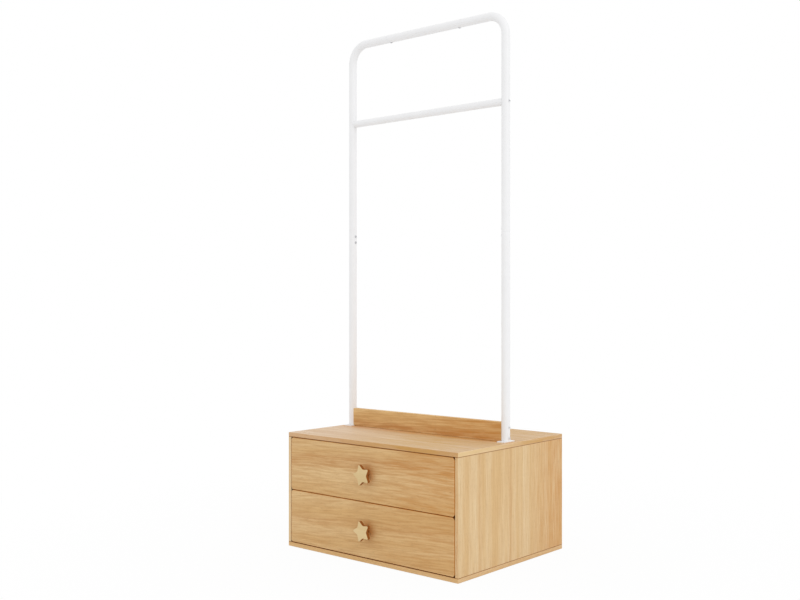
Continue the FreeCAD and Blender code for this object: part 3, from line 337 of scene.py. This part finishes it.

# Painted shade in the routed corners of a drawer front, where a surface turns towards its side and its top
# at once
CORNER_SHADE_TONE = colour(112, 54, 0)
CORNER_SHADE_SHARE = 0.85
CORNER_TURN = (0.05, 0.25)

# Values of a board's figure that go into the wood figure's inputs as they are
FIGURE_INPUTS = ("Heart", "Slant", "Tilt", "Ring Pitch", "Wander", "Seed")


def wood(
    name, board, grain, figure, tones, roughness=WOOD_ROUGHNESS, seams=(), rim=None, faces=(), knob=None
):
    """Wood for one board, from its own figure and its pale, deep and line tones.

    seams are the heights of grooves with painted shade, and rim is the tone and the share along the edges.
    faces are stains on the faces that look along an axis: axis, share, tone and fade; on the drawer fronts
    they are painted shade in the gaps.
    knob is the piece round which shade is painted, on the front and in its routed corners.
    """
    pale, deep, line = tones
    rim_tone, rim_share = rim or (pale, EDGE_SHARE)
    material, tree, shader, coordinates = new_material(name)
    inputs = {label: figure[label] for label in FIGURE_INPUTS}
    inputs["Grain"] = grain_of(tree, coordinates, grain)
    marks = marks_of(tree, wood_figure, inputs)
    low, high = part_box(board)
    outline = {"Middle": (low + high) / 2, "Half": (high - low) / 2, "Reach": EDGE_REACH}
    edges = marks_of(tree, board_edges, {"Place": coordinates["Object"], **outline})
    shade = blend(tree, "RGBA", marks["Drift"], pale, deep)
    for mark, share in figure["Shares"].items():
        shade = stain(tree, marks[mark], share, shade, line)
    shade = stain(tree, ramp(tree, marks["Fibre"], *FIBRE_LIMITS), FIBRE_SHARE, shade, line)
    for way, middle, reach, share, tone in figure["Bands"]:
        broken = ramp(tree, marks["Lines"], 0.0, 1.0, BAND_REST, 1.0)
        band = sums(tree, "MULTIPLY", near(tree, marks[way], middle, reach), broken)
        shade = stain(tree, band, share, shade, tone)
    shade = stain(tree, marks["Pores"], PORE_SHARE, shade, PORE_TONE)
    # Edges: painted shade along the rims of the drawer fronts; on other boards paler, partly paler edge
    # wood and partly a painted highlight
    shade = stain(tree, edges["Edge"], rim_share, shade, rim_tone)
    facing = split(tree, coordinates["Normal"])
    spot = split(tree, coordinates["Object"])
    for axis, share, tone, fade in faces:
        turned = ramp(tree, sums(tree, "ABSOLUTE", facing[axis]), *FACE_TURN)
        if fade:
            way, middle, reach = fade
            turned = sums(tree, "MULTIPLY", turned, near(tree, spot[way], middle, reach))
        shade = stain(tree, turned, share, shade, tone)
    if knob:
        # Painted shade round the knob
        knob_low, knob_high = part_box(knob)
        from_knob = vectors(tree, "SUBTRACT", coordinates["Object"], (knob_low + knob_high) / 2)
        knob_shade = near(tree, distance(tree, from_knob), 0.0, KNOB_SHADE_REACH)
        shade = stain(tree, knob_shade, KNOB_SHADE_SHARE, shade, KNOB_SHADE_TONE)
        # Painted shade in the routed corners, where the surface turns towards the side and the top at once
        turned = sums(tree, "ABSOLUTE", sums(tree, "MULTIPLY", facing["X"], facing["Z"]))
        shade = stain(tree, ramp(tree, turned, *CORNER_TURN), CORNER_SHADE_SHARE, shade, CORNER_SHADE_TONE)
    # Painted shade along the grooves at the seams
    for height in seams:
        shade = stain(tree, near(tree, spot["Z"], height, SEAM_REACH), SEAM_SHADE_SHARE, shade, SEAM_SHADE_TONE)
    rough = ramp(tree, marks["Fibre"], *ROUGHNESS_LIMITS, roughness - SMOOTHER, roughness + ROUGHER)
    relief = sums(tree, "SUBTRACT", marks["Fibre"], sums(tree, "MULTIPLY", marks["Pores"], PORE_DEPTH))
    finish_shader(tree, shader, shade, rough, relief, GRAIN_RELIEF)
    shader.inputs["Specular IOR Level"].default_value = WOOD_SHINE
    return material


# Slant of the heart in most boards, in metres through the board for each metre along it
SLANT = 0.03


def board_figure(heart, pitch, wander, seed, rings, streaks, lines, bands=(), slant=SLANT, tilt=0.0):
    """Figure of one board: its heart, the pitch and wander of its rings, and the share that each mark has.

    Each of the bands is the way it is measured, its middle, its reach, its share and its tone.
    """
    return {
        "Heart": heart,
        "Slant": slant,
        "Tilt": tilt,
        "Ring Pitch": pitch,
        "Wander": wander,
        "Seed": seed,
        "Shares": {"Rings": rings, "Streaks": streaks, "Lines": lines},
        "Bands": bands,
    }


# Tones of each wood: pale, deep and the darker lines
FRONT_TONES = (colour(233, 201, 150), colour(220, 181, 125), colour(183, 131, 74))
SIDE_TONES = (colour(233, 207, 164), colour(223, 189, 138), colour(194, 146, 90))
TOP_TONES = (colour(236, 215, 190), colour(225, 197, 164), colour(194, 150, 102))
BOTTOM_TONES = (colour(235, 209, 172), colour(223, 190, 143), colour(194, 150, 102))
RACK_BOARD_TONES = (colour(244, 214, 160), colour(232, 195, 136), colour(184, 130, 66))
BOX_TONES = (colour(232, 212, 172), colour(222, 198, 154), colour(198, 168, 120))
STAR_TONES = (colour(230, 205, 156), colour(220, 193, 142), colour(204, 174, 122))
# The stems' dark tones are partly darker wood and partly painted shade under the stars
STEM_WOOD_AND_SHADE_TONES = (colour(132, 84, 42), colour(118, 74, 36), colour(96, 58, 28))

# Warm tones of the broader bands that some boards carry; the last one is painted shade on the top at the
# foot of the rack's board
BAND_TONE = colour(190, 132, 74)
AMBER_TONE = colour(200, 134, 58)
GOLD_TONE = colour(203, 160, 86)
FOOT_SHADE_TONE = colour(214, 144, 40)

# Heights at which the sides meet the bottom and the top, and at which the rack's board meets the top; shade
# is painted in the grooves there
LOW_SEAM = 0.015
HIGH_SEAM = 0.383
FOOT_SEAM = 0.398

# Painted shade on the drawer fronts: along their rounded rims, and on their faces in the gaps round them
RIM_SHADE_TONE = colour(186, 120, 36)
RIM_SHADE_SHARE = 0.45
GAP_SHADE_TONE = colour(202, 118, 8)
GAP_SHADE_SHARE = 0.75
GAP_SHADE_FACES = [("X", GAP_SHADE_SHARE, GAP_SHADE_TONE, None), ("Z", GAP_SHADE_SHARE, GAP_SHADE_TONE, None)]

# Edging strips on the upright faces of the top and the bottom: axis, share, tone and fade along the strip
EDGING_TONE = colour(222, 172, 96)
PALE_EDGING_TONE = colour(240, 210, 148)
FRONT_EDGING_TONE = colour(198, 142, 70)
EDGINGS = {
    "top_panel": [
        ("X", 0.55, PALE_EDGING_TONE, ("Y", -0.3, 0.6)),
        ("X", 0.23, AMBER_TONE, ("Y", 0.15, 0.5)),
        ("Y", 0.52, FRONT_EDGING_TONE, None),
    ],
    "bottom_panel": [("X", 0.15, EDGING_TONE, None), ("Y", 0.4, EDGING_TONE, None)],
}

# Boards that show: the way of their grain, their tones, their seams and their figure
BOARDS = {
    "top_panel": (
        LYING,
        TOP_TONES,
        [HIGH_SEAM],
        board_figure(
            heart=(0.1, 0.62, 0.39),
            pitch=0.016,
            wander=0.06,
            seed=(3.1, 1.7, 0.4),
            rings=0.08,
            streaks=0.3,
            lines=0.3,
            # The second band is painted shade on the top along the foot of the rack's board
            bands=[("Along", 0.17, 0.46, 0.76, GOLD_TONE), ("Across", -0.01, 0.06, 0.6, FOOT_SHADE_TONE)],
        ),
    ),
    "bottom_panel": (
        LYING,
        BOTTOM_TONES,
        [LOW_SEAM],
        board_figure(
            heart=(0.3, -0.7, 0.0),
            pitch=0.016,
            wander=0.06,
            seed=(7.4, 0.2, 1.1),
            rings=0.08,
            streaks=0.2,
            lines=0.16,
        ),
    ),
    "left_side_panel": (
        STANDING,
        SIDE_TONES,
        [LOW_SEAM, HIGH_SEAM],
        board_figure(
            heart=(0.2, 0.55, -0.38),
            pitch=0.02,
            wander=0.03,
            seed=(0.6, 2.2, 3.0),
            rings=0.03,
            streaks=0.14,
            lines=0.2,
        ),
    ),
    "right_side_panel": (
        STANDING,
        SIDE_TONES,
        [LOW_SEAM, HIGH_SEAM],
        board_figure(
            heart=(0.35, 0.75, 0.38),
            pitch=0.02,
            wander=0.03,
            seed=(5.2, 0.9, 2.0),
            rings=0.03,
            streaks=0.06,
            lines=0.3,
            bands=[
                ("Across", -0.185, 0.01, 0.3, BAND_TONE),
                ("Across", -0.02, 0.01, 0.45, BAND_TONE),
                ("Across", 0.27, 0.22, 0.6, AMBER_TONE),
            ],
        ),
    ),
    "upper_drawer_front": (
        UPRIGHT,
        FRONT_TONES,
        [],
        board_figure(
            heart=(0.0, 0.12, -0.42),
            pitch=0.009,
            wander=0.03,
            seed=(1.3, 4.1, 0.7),
            rings=0.06,
            streaks=0.1,
            lines=0.42,
            bands=[("Across", 0.326, 0.04, 0.62, BAND_TONE), ("Along", 0.4, 0.5, 0.52, AMBER_TONE)],
            tilt=0.06,
        ),
    ),
    "lower_drawer_front": (
        UPRIGHT,
        FRONT_TONES,
        [],
        board_figure(
            heart=(0.0, 0.28, -0.42),
            pitch=0.01,
            wander=0.035,
            seed=(2.6, 0.3, 5.1),
            rings=0.06,
            streaks=0.1,
            lines=0.42,
            bands=[("Across", 0.12, 0.03, 0.3, BAND_TONE), ("Along", 0.4, 0.5, 0.22, AMBER_TONE)],
            tilt=0.05,
        ),
    ),
    "rack_board": (
        UPRIGHT,
        RACK_BOARD_TONES,
        [FOOT_SEAM],
        board_figure(
            heart=(0.9, 0.37, -0.01),
            pitch=0.01,
            wander=0.02,
            seed=(4.4, 3.3, 0.2),
            rings=0.06,
            streaks=0.22,
            lines=0.48,
            bands=[("Across", 0.409, 0.02, 0.75, BAND_TONE), ("Along", 0.3, 0.5, 0.6, AMBER_TONE)],
            slant=0.05,
        ),
    ),
}
for board, (grain, tones, seams, figure) in BOARDS.items():
    extras = {"seams": seams, "faces": EDGINGS.get(board, ())}
    if board.endswith("drawer_front"):
        knob = board.replace("drawer_front", "knob_stem")
        # Drawer fronts: painted shade along the rims, in the gaps, round the knob and in the routed corners
        extras = {"rim": (RIM_SHADE_TONE, RIM_SHADE_SHARE), "faces": GAP_SHADE_FACES, "knob": knob}
    dress(wood(f"oak_{board}", board, grain, figure, tones, **extras), board)

# Drawer boxes, knob stems and dowels
BOX_SIDE_FIGURE = board_figure(
    heart=(0.0, 0.5, 0.3),
    pitch=0.012,
    wander=0.03,
    seed=(0.8, 0.4, 1.9),
    rings=0.1,
    streaks=0.18,
    lines=0.16,
)
BOX_BACK_FIGURE = board_figure(
    heart=(0.1, 0.6, 0.2),
    pitch=0.012,
    wander=0.03,
    seed=(2.3, 1.4, 0.6),
    rings=0.1,
    streaks=0.18,
    lines=0.16,
)
KNOB_FIGURE = board_figure(
    heart=(0.3, 0.6, -0.2),
    pitch=0.006,
    wander=0.01,
    seed=(0.7, 2.9, 1.2),
    rings=0.08,
    streaks=0.1,
    lines=0.1,
    slant=0.02,
)
DOWEL_FIGURE = board_figure(
    heart=(0.0, 0.4, 0.3),
    pitch=0.004,
    wander=0.01,
    seed=(1.5, 0.8, 2.4),
    rings=0.2,
    streaks=0.2,
    lines=0.2,
    slant=0.02,
)
DOWEL_ROUGHNESS = 0.6
for drawer in ("upper", "lower"):
    for side in ("left", "right"):
        board = f"{drawer}_drawer_{side}_side"
        dress(wood(f"birch_{board}", board, LENGTHWAYS, BOX_SIDE_FIGURE, BOX_TONES), board)
    board = f"{drawer}_drawer_back"
    dress(wood(f"birch_{board}", board, UPRIGHT, BOX_BACK_FIGURE, BOX_TONES), board)
    # Dark stems: partly darker wood, partly painted shade under the stars
    stem = f"{drawer}_knob_stem"
    dress(wood(f"shade_darkened_{stem}", stem, LENGTHWAYS, KNOB_FIGURE, STEM_WOOD_AND_SHADE_TONES), stem)
for dowels in ("carcass_dowels", "upper_drawer_dowels", "lower_drawer_dowels"):
    dress(wood(f"beech_{dowels}", dowels, STANDING, DOWEL_FIGURE, STAR_TONES, DOWEL_ROUGHNESS), dowels)

# Stars: smooth faces, and a darker sawn edge where the surface turns away from them, partly end grain and
# partly painted shade
STAR_ROUGHNESS = (0.4, 0.52)
SAWN_GRAIN_AND_SHADE_TONE = colour(146, 80, 14)
SAWN_GRAIN_AND_SHADE_SHARE = 0.95
SAWN_TURN = (0.75, 0.4)


def star_wood(name):
    """Pale smooth wood of a star knob with a darker sawn edge, partly end grain and partly painted shade.
    """
    pale, deep, line = STAR_TONES
    material, tree, shader, coordinates = new_material(name)
    inputs = {label: KNOB_FIGURE[label] for label in FIGURE_INPUTS}
    place = split(tree, coordinates["Object"])
    inputs["Grain"] = join(tree, place["X"], place["Z"], place["Y"])
    marks = marks_of(tree, wood_figure, inputs)
    shade = blend(tree, "RGBA", marks["Drift"], pale, deep)
    for mark in ("Rings", "Lines"):
        shade = stain(tree, marks[mark], KNOB_FIGURE["Shares"][mark], shade, line)
    facing = sums(tree, "ABSOLUTE", split(tree, coordinates["Normal"])["Y"])
    # Darker sawn edge: end grain and painted shade
    shade = stain(tree, ramp(tree, facing, *SAWN_TURN), SAWN_GRAIN_AND_SHADE_SHARE, shade, SAWN_GRAIN_AND_SHADE_TONE)
    rough = ramp(tree, marks["Fibre"], *ROUGHNESS_LIMITS, *STAR_ROUGHNESS)
    finish_shader(tree, shader, shade, rough, marks["Fibre"], GRAIN_RELIEF)
    shader.inputs["Specular IOR Level"].default_value = WOOD_SHINE
    return material


dress(star_wood("beech_stars"), "upper_star_plate", "lower_star_plate")

# Printed wood foil on the thin boards
FOIL_FIGURE = {"Heart": (0.0, 0.9, 0.4), "Slant": SLANT, "Ring Pitch": 0.014, "Wander": 0.03}
FOIL_SHARES = {"Rings": 0.1, "Streaks": 0.16, "Lines": 0.14}
FOIL_ROUGHNESS = (0.5, 0.66)
FOIL_RELIEF = 0.00004
BACK_SEED = (0.3, 0.7, 0.2)
DRAWER_BOTTOM_SEED = (4.1, 0.2, 0.4)


def foil(name, grain, seed, tones):
    """Thin fibreboard with a printed wood foil, more even than the solid boards."""
    pale, deep, line = tones
    material, tree, shader, coordinates = new_material(name)
    inputs = {**FOIL_FIGURE, "Seed": seed, "Grain": grain_of(tree, coordinates, grain)}
    marks = marks_of(tree, wood_figure, inputs)
    shade = blend(tree, "RGBA", marks["Drift"], pale, deep)
    for mark, share in FOIL_SHARES.items():
        shade = stain(tree, marks[mark], share, shade, line)
    rough = ramp(tree, marks["Fibre"], *ROUGHNESS_LIMITS, *FOIL_ROUGHNESS)
    finish_shader(tree, shader, shade, rough, marks["Fibre"], FOIL_RELIEF)
    return material


dress(foil("foil_back_panel", STANDING, BACK_SEED, SIDE_TONES), "back_panel")
dress(
    foil("foil_drawer_bottoms", LYING, DRAWER_BOTTOM_SEED, BOX_TONES),
    "upper_drawer_bottom",
    "lower_drawer_bottom",
)

# White powder coat: two nearly equal tones, its roughness and the depth of its orange peel
COAT_TONES = (colour(243, 243, 244), colour(241, 241, 242))
COAT_LIMITS = (0.3, 0.7)
COAT_ROUGHNESS = (0.3, 0.4)
COAT_RELIEF = 0.00003

# Where two lengths of tube meet: the height of the joints in the posts, and the top rail's half length
POST_JOINT = 1.085
RAIL_SEAM = 0.165
RAIL_LEVEL = 1.7
TUBE_SEAM_TONE = colour(150, 150, 152)
TUBE_SEAM_REACH = 0.0007
TUBE_SEAM_SHARE = 0.12


def white_paint():
    """White powder coat on the tubes and base plates, with a fine shadow line at each tube joint."""
    material, tree, shader, coordinates = new_material("white_powder_coat")
    coat = marks_of(tree, powder_coat, {"Place": coordinates["Object"]})
    shade = blend(tree, "RGBA", ramp(tree, coat["Cloud"], *COAT_LIMITS), *COAT_TONES)
    place = split(tree, coordinates["Object"])
    on_rail = sums(tree, "GREATER_THAN", place["Z"], RAIL_LEVEL)
    rail_seam = near(tree, sums(tree, "ABSOLUTE", place["X"]), RAIL_SEAM, TUBE_SEAM_REACH)
    post_joint = near(tree, place["Z"], POST_JOINT, TUBE_SEAM_REACH)
    seam = sums(tree, "MAXIMUM", sums(tree, "MULTIPLY", rail_seam, on_rail), post_joint)
    shade = stain(tree, seam, TUBE_SEAM_SHARE, shade, TUBE_SEAM_TONE)
    rough = ramp(tree, coat["Peel"], *COAT_LIMITS, *COAT_ROUGHNESS)
    finish_shader(tree, shader, shade, rough, coat["Peel"], COAT_RELIEF)
    return material


white_coat = white_paint()
dress(
    white_coat,
    "left_lower_post",
    "right_lower_post",
    "left_corner_tube",
    "right_corner_tube",
    "top_rail_tube",
    "hanging_rail",
    "left_base_plate",
    "right_base_plate",
)

# Plated steel of the runners and the fixings
SPANGLE_LIMITS = (0.35, 0.65)
DRAWN_LIMITS = (0.3, 0.7)
PLATE_RELIEF = 0.00001


def plating(name, light, dark, smooth, dull):
    """Plated steel with its lighter and darker tone, and the limits of its roughness."""
    material, tree, shader, coordinates = new_material(name)
    plate = marks_of(tree, plated_steel, {"Place": coordinates["Object"]})
    shade = blend(tree, "RGBA", ramp(tree, plate["Spangle"], *SPANGLE_LIMITS), light, dark)
    rough = ramp(tree, plate["Lines"], *DRAWN_LIMITS, smooth, dull)
    finish_shader(tree, shader, shade, rough, plate["Lines"], PLATE_RELIEF)
    shader.inputs["Metallic"].default_value = 1.0
    return material


zinc = plating("zinc_runners", colour(208, 210, 212), colour(190, 192, 196), smooth=0.28, dull=0.42)
nickel = plating("nickel_fixings", colour(190, 190, 190), colour(172, 173, 176), smooth=0.25, dull=0.38)
satin = plating("satin_bolt_heads", colour(240, 240, 241), colour(230, 230, 232), smooth=0.42, dull=0.55)
steel = plating("grey_joint_screws", colour(212, 212, 214), colour(198, 198, 201), smooth=0.35, dull=0.5)
for name in nodes:
    if name.endswith(("cabinet_runner", "drawer_runner", "middle_runners", "ball_cages")):
        dress(zinc, name)
dress(satin, "hanging_rail_bolts", "rack_board_bolts", "base_plate_bolts")
dress(steel, "tube_joint_screws")
dress(
    nickel,
    "carcass_cams",
    "carcass_cam_bolts",
    "tube_sleeves",
    "hanging_rail_inserts",
    "base_plate_nuts",
    "rack_board_inserts",
    "cabinet_runner_screws",
    "upper_knob_screw",
    "lower_knob_screw",
    "upper_drawer_runner_screws",
    "lower_drawer_runner_screws",
)

# Weld beads at the feet of the posts: rippled rings, open where the board meets the post
POST_REACH = 0.344
TUBE_RADIUS = 0.0143
PLATE_TOP = 0.401
BEAD_RADIUS = 0.00095
BEAD_SIDES = 10
BEAD_STEPS = 96
BEAD_TURN = math.radians(270)
BEAD_RIPPLE = 0.00016


def weld_bead(name, post_x, board_side):
    """Bead round one post's foot: board_side is the angle, seen from above, at which the board lies."""
    centre = Vector((post_x, 0.0, PLATE_TOP))
    start = board_side + (2 * math.pi - BEAD_TURN) / 2
    reach = Vector((math.cos(start), math.sin(start), 0.0)) * TUBE_RADIUS
    bpy.ops.object.select_all(action="DESELECT")
    bpy.ops.mesh.primitive_circle_add(
        vertices=BEAD_SIDES,
        radius=BEAD_RADIUS,
        fill_type="NGON",
        location=centre + reach,
        rotation=(math.pi / 2, 0.0, start),
    )
    bead = bpy.context.object
    bead.name = name
    bpy.ops.object.transform_apply(location=True, rotation=True, scale=True)
    bpy.ops.object.mode_set(mode="EDIT")
    bpy.ops.mesh.select_all(action="SELECT")
    bpy.ops.mesh.spin(steps=BEAD_STEPS, angle=BEAD_TURN, center=centre, axis=(0.0, 0.0, 1.0))
    bpy.ops.mesh.select_all(action="SELECT")
    bpy.ops.mesh.normals_make_consistent(inside=False)
    bpy.ops.mesh.select_all(action="DESELECT")
    bpy.ops.object.mode_set(mode="OBJECT")
    step = BEAD_TURN / BEAD_STEPS
    for vertex in bead.data.vertices:
        arm = vertex.co - centre
        ring = round(math.atan2(arm.y, arm.x) / step - start / step)
        vertex.select = ring % 2 == 1
    bpy.ops.object.mode_set(mode="EDIT")
    bpy.ops.transform.shrink_fatten(value=BEAD_RIPPLE)
    bpy.ops.object.mode_set(mode="OBJECT")
    rounding = bead.modifiers.new("rounding", "SUBSURF")
    rounding.levels = 1
    rounding.render_levels = 1
    bpy.ops.object.modifier_apply(modifier="rounding")
    bpy.ops.object.shade_smooth()
    bead.data.materials.append(white_coat)
    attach(bead, "chest")


weld_bead("left_post_weld", -POST_REACH, 0.0)
weld_bead("right_post_weld", POST_REACH, math.pi)


# Studio: white floor that keeps a soft shadow, even white surroundings and one large lamp
def shown_directly(tree):
    """1 for rays that look straight at the surroundings, or see them in metal or glass."""
    paths = tree.nodes.new("ShaderNodeLightPath").outputs
    seen = sums(tree, "MAXIMUM", paths["Is Camera Ray"], paths["Is Glossy Ray"])
    return sums(tree, "MAXIMUM", seen, paths["Is Transmission Ray"])


WHITE = (1.0, 1.0, 1.0, 1.0)

# Floor just under the part: the share of plain white in it grows with the distance from the part
FLOOR_SIDES = 96
FLOOR_RADIUS = 14.0
FLOOR_PLACE = (0.0, 0.0, -0.0005)
FLOOR_TONE = (0.86, 0.86, 0.86, 1.0)
FADE_DISTANCES = (0.6, 2.0)
FADE_SHARES = (0.955, 1.0)


def studio_floor():
    """Round white floor with a soft shadow round the part."""
    bpy.ops.mesh.primitive_circle_add(
        vertices=FLOOR_SIDES,
        radius=FLOOR_RADIUS,
        fill_type="NGON",
        location=FLOOR_PLACE,
    )
    floor = bpy.context.object
    floor.name = "studio_floor"
    material = bpy.data.materials.new("studio_white")
    material.use_nodes = True
    tree = material.node_tree
    tree.nodes.clear()
    away = distance(tree, tree.nodes.new("ShaderNodeTexCoord").outputs["Object"])
    fade = ramp(tree, away, *FADE_DISTANCES, *FADE_SHARES)
    matt = put(tree, "ShaderNodeBsdfDiffuse", {"Color": FLOOR_TONE}).outputs[0]
    glow = put(tree, "ShaderNodeEmission", {"Color": WHITE, "Strength": 1.0}).outputs[0]
    share = sums(tree, "MULTIPLY", fade, shown_directly(tree))
    mixed = put(tree, "ShaderNodeMixShader", {0: share, 1: matt, 2: glow}).outputs[0]
    put(tree, "ShaderNodeOutputMaterial", {"Surface": mixed})
    floor.data.materials.append(material)


# Strength of the even light from all round
ROOM_LIGHT = 0.95


def studio_surroundings():
    """Surroundings that look plain white and light the part evenly."""
    world = bpy.data.worlds.new("studio_world")
    world.use_nodes = True
    tree = world.node_tree
    tree.nodes.clear()
    lit = put(tree, "ShaderNodeBackground", {"Color": WHITE, "Strength": ROOM_LIGHT}).outputs[0]
    seen = put(tree, "ShaderNodeBackground", {"Color": WHITE, "Strength": 1.0}).outputs[0]
    mixed = put(tree, "ShaderNodeMixShader", {0: shown_directly(tree), 1: lit, 2: seen}).outputs[0]
    put(tree, "ShaderNodeOutputWorld", {"Surface": mixed})
    bpy.context.scene.world = world


# Large round lamp, far off and high on the right
LAMP_PLACE = (9.6, -1.8, 6.0)
LAMP_AIM = (0.0, 0.0, 0.6)
LAMP_SIZE = 6.0
LAMP_POWER = 126.0


def studio_lamp(name):
    """Round lamp that looks at the part."""
    light = bpy.data.lights.new(name, "AREA")
    light.shape = "DISK"
    light.size = LAMP_SIZE
    light.energy = LAMP_POWER
    holder = bpy.data.objects.new(name, light)
    holder.location = LAMP_PLACE
    holder.rotation_euler = (Vector(LAMP_AIM) - Vector(LAMP_PLACE)).to_track_quat("-Z", "Y").to_euler()
    bpy.context.scene.collection.objects.link(holder)


studio_floor()
studio_surroundings()
studio_lamp("key_lamp")

# Camera at the photograph's viewing angle, level, with the lens worked out from the object's straight edges
CAMERA_PLACE = (2.2836, -2.7709, 0.8617)
CAMERA_YAW = 40.861
LENS = 46.29
SENSOR_WIDTH = 36.0
LEVEL = 90.0

camera = bpy.data.cameras.new("camera")
camera.lens = LENS
camera.sensor_width = SENSOR_WIDTH
camera.sensor_fit = "HORIZONTAL"
viewer = bpy.data.objects.new("camera", camera)
viewer.location = CAMERA_PLACE
viewer.rotation_euler = (math.radians(LEVEL), 0.0, math.radians(CAMERA_YAW))
bpy.context.scene.collection.objects.link(viewer)
bpy.context.scene.camera = viewer
bpy.context.scene.view_settings.view_transform = "Standard"
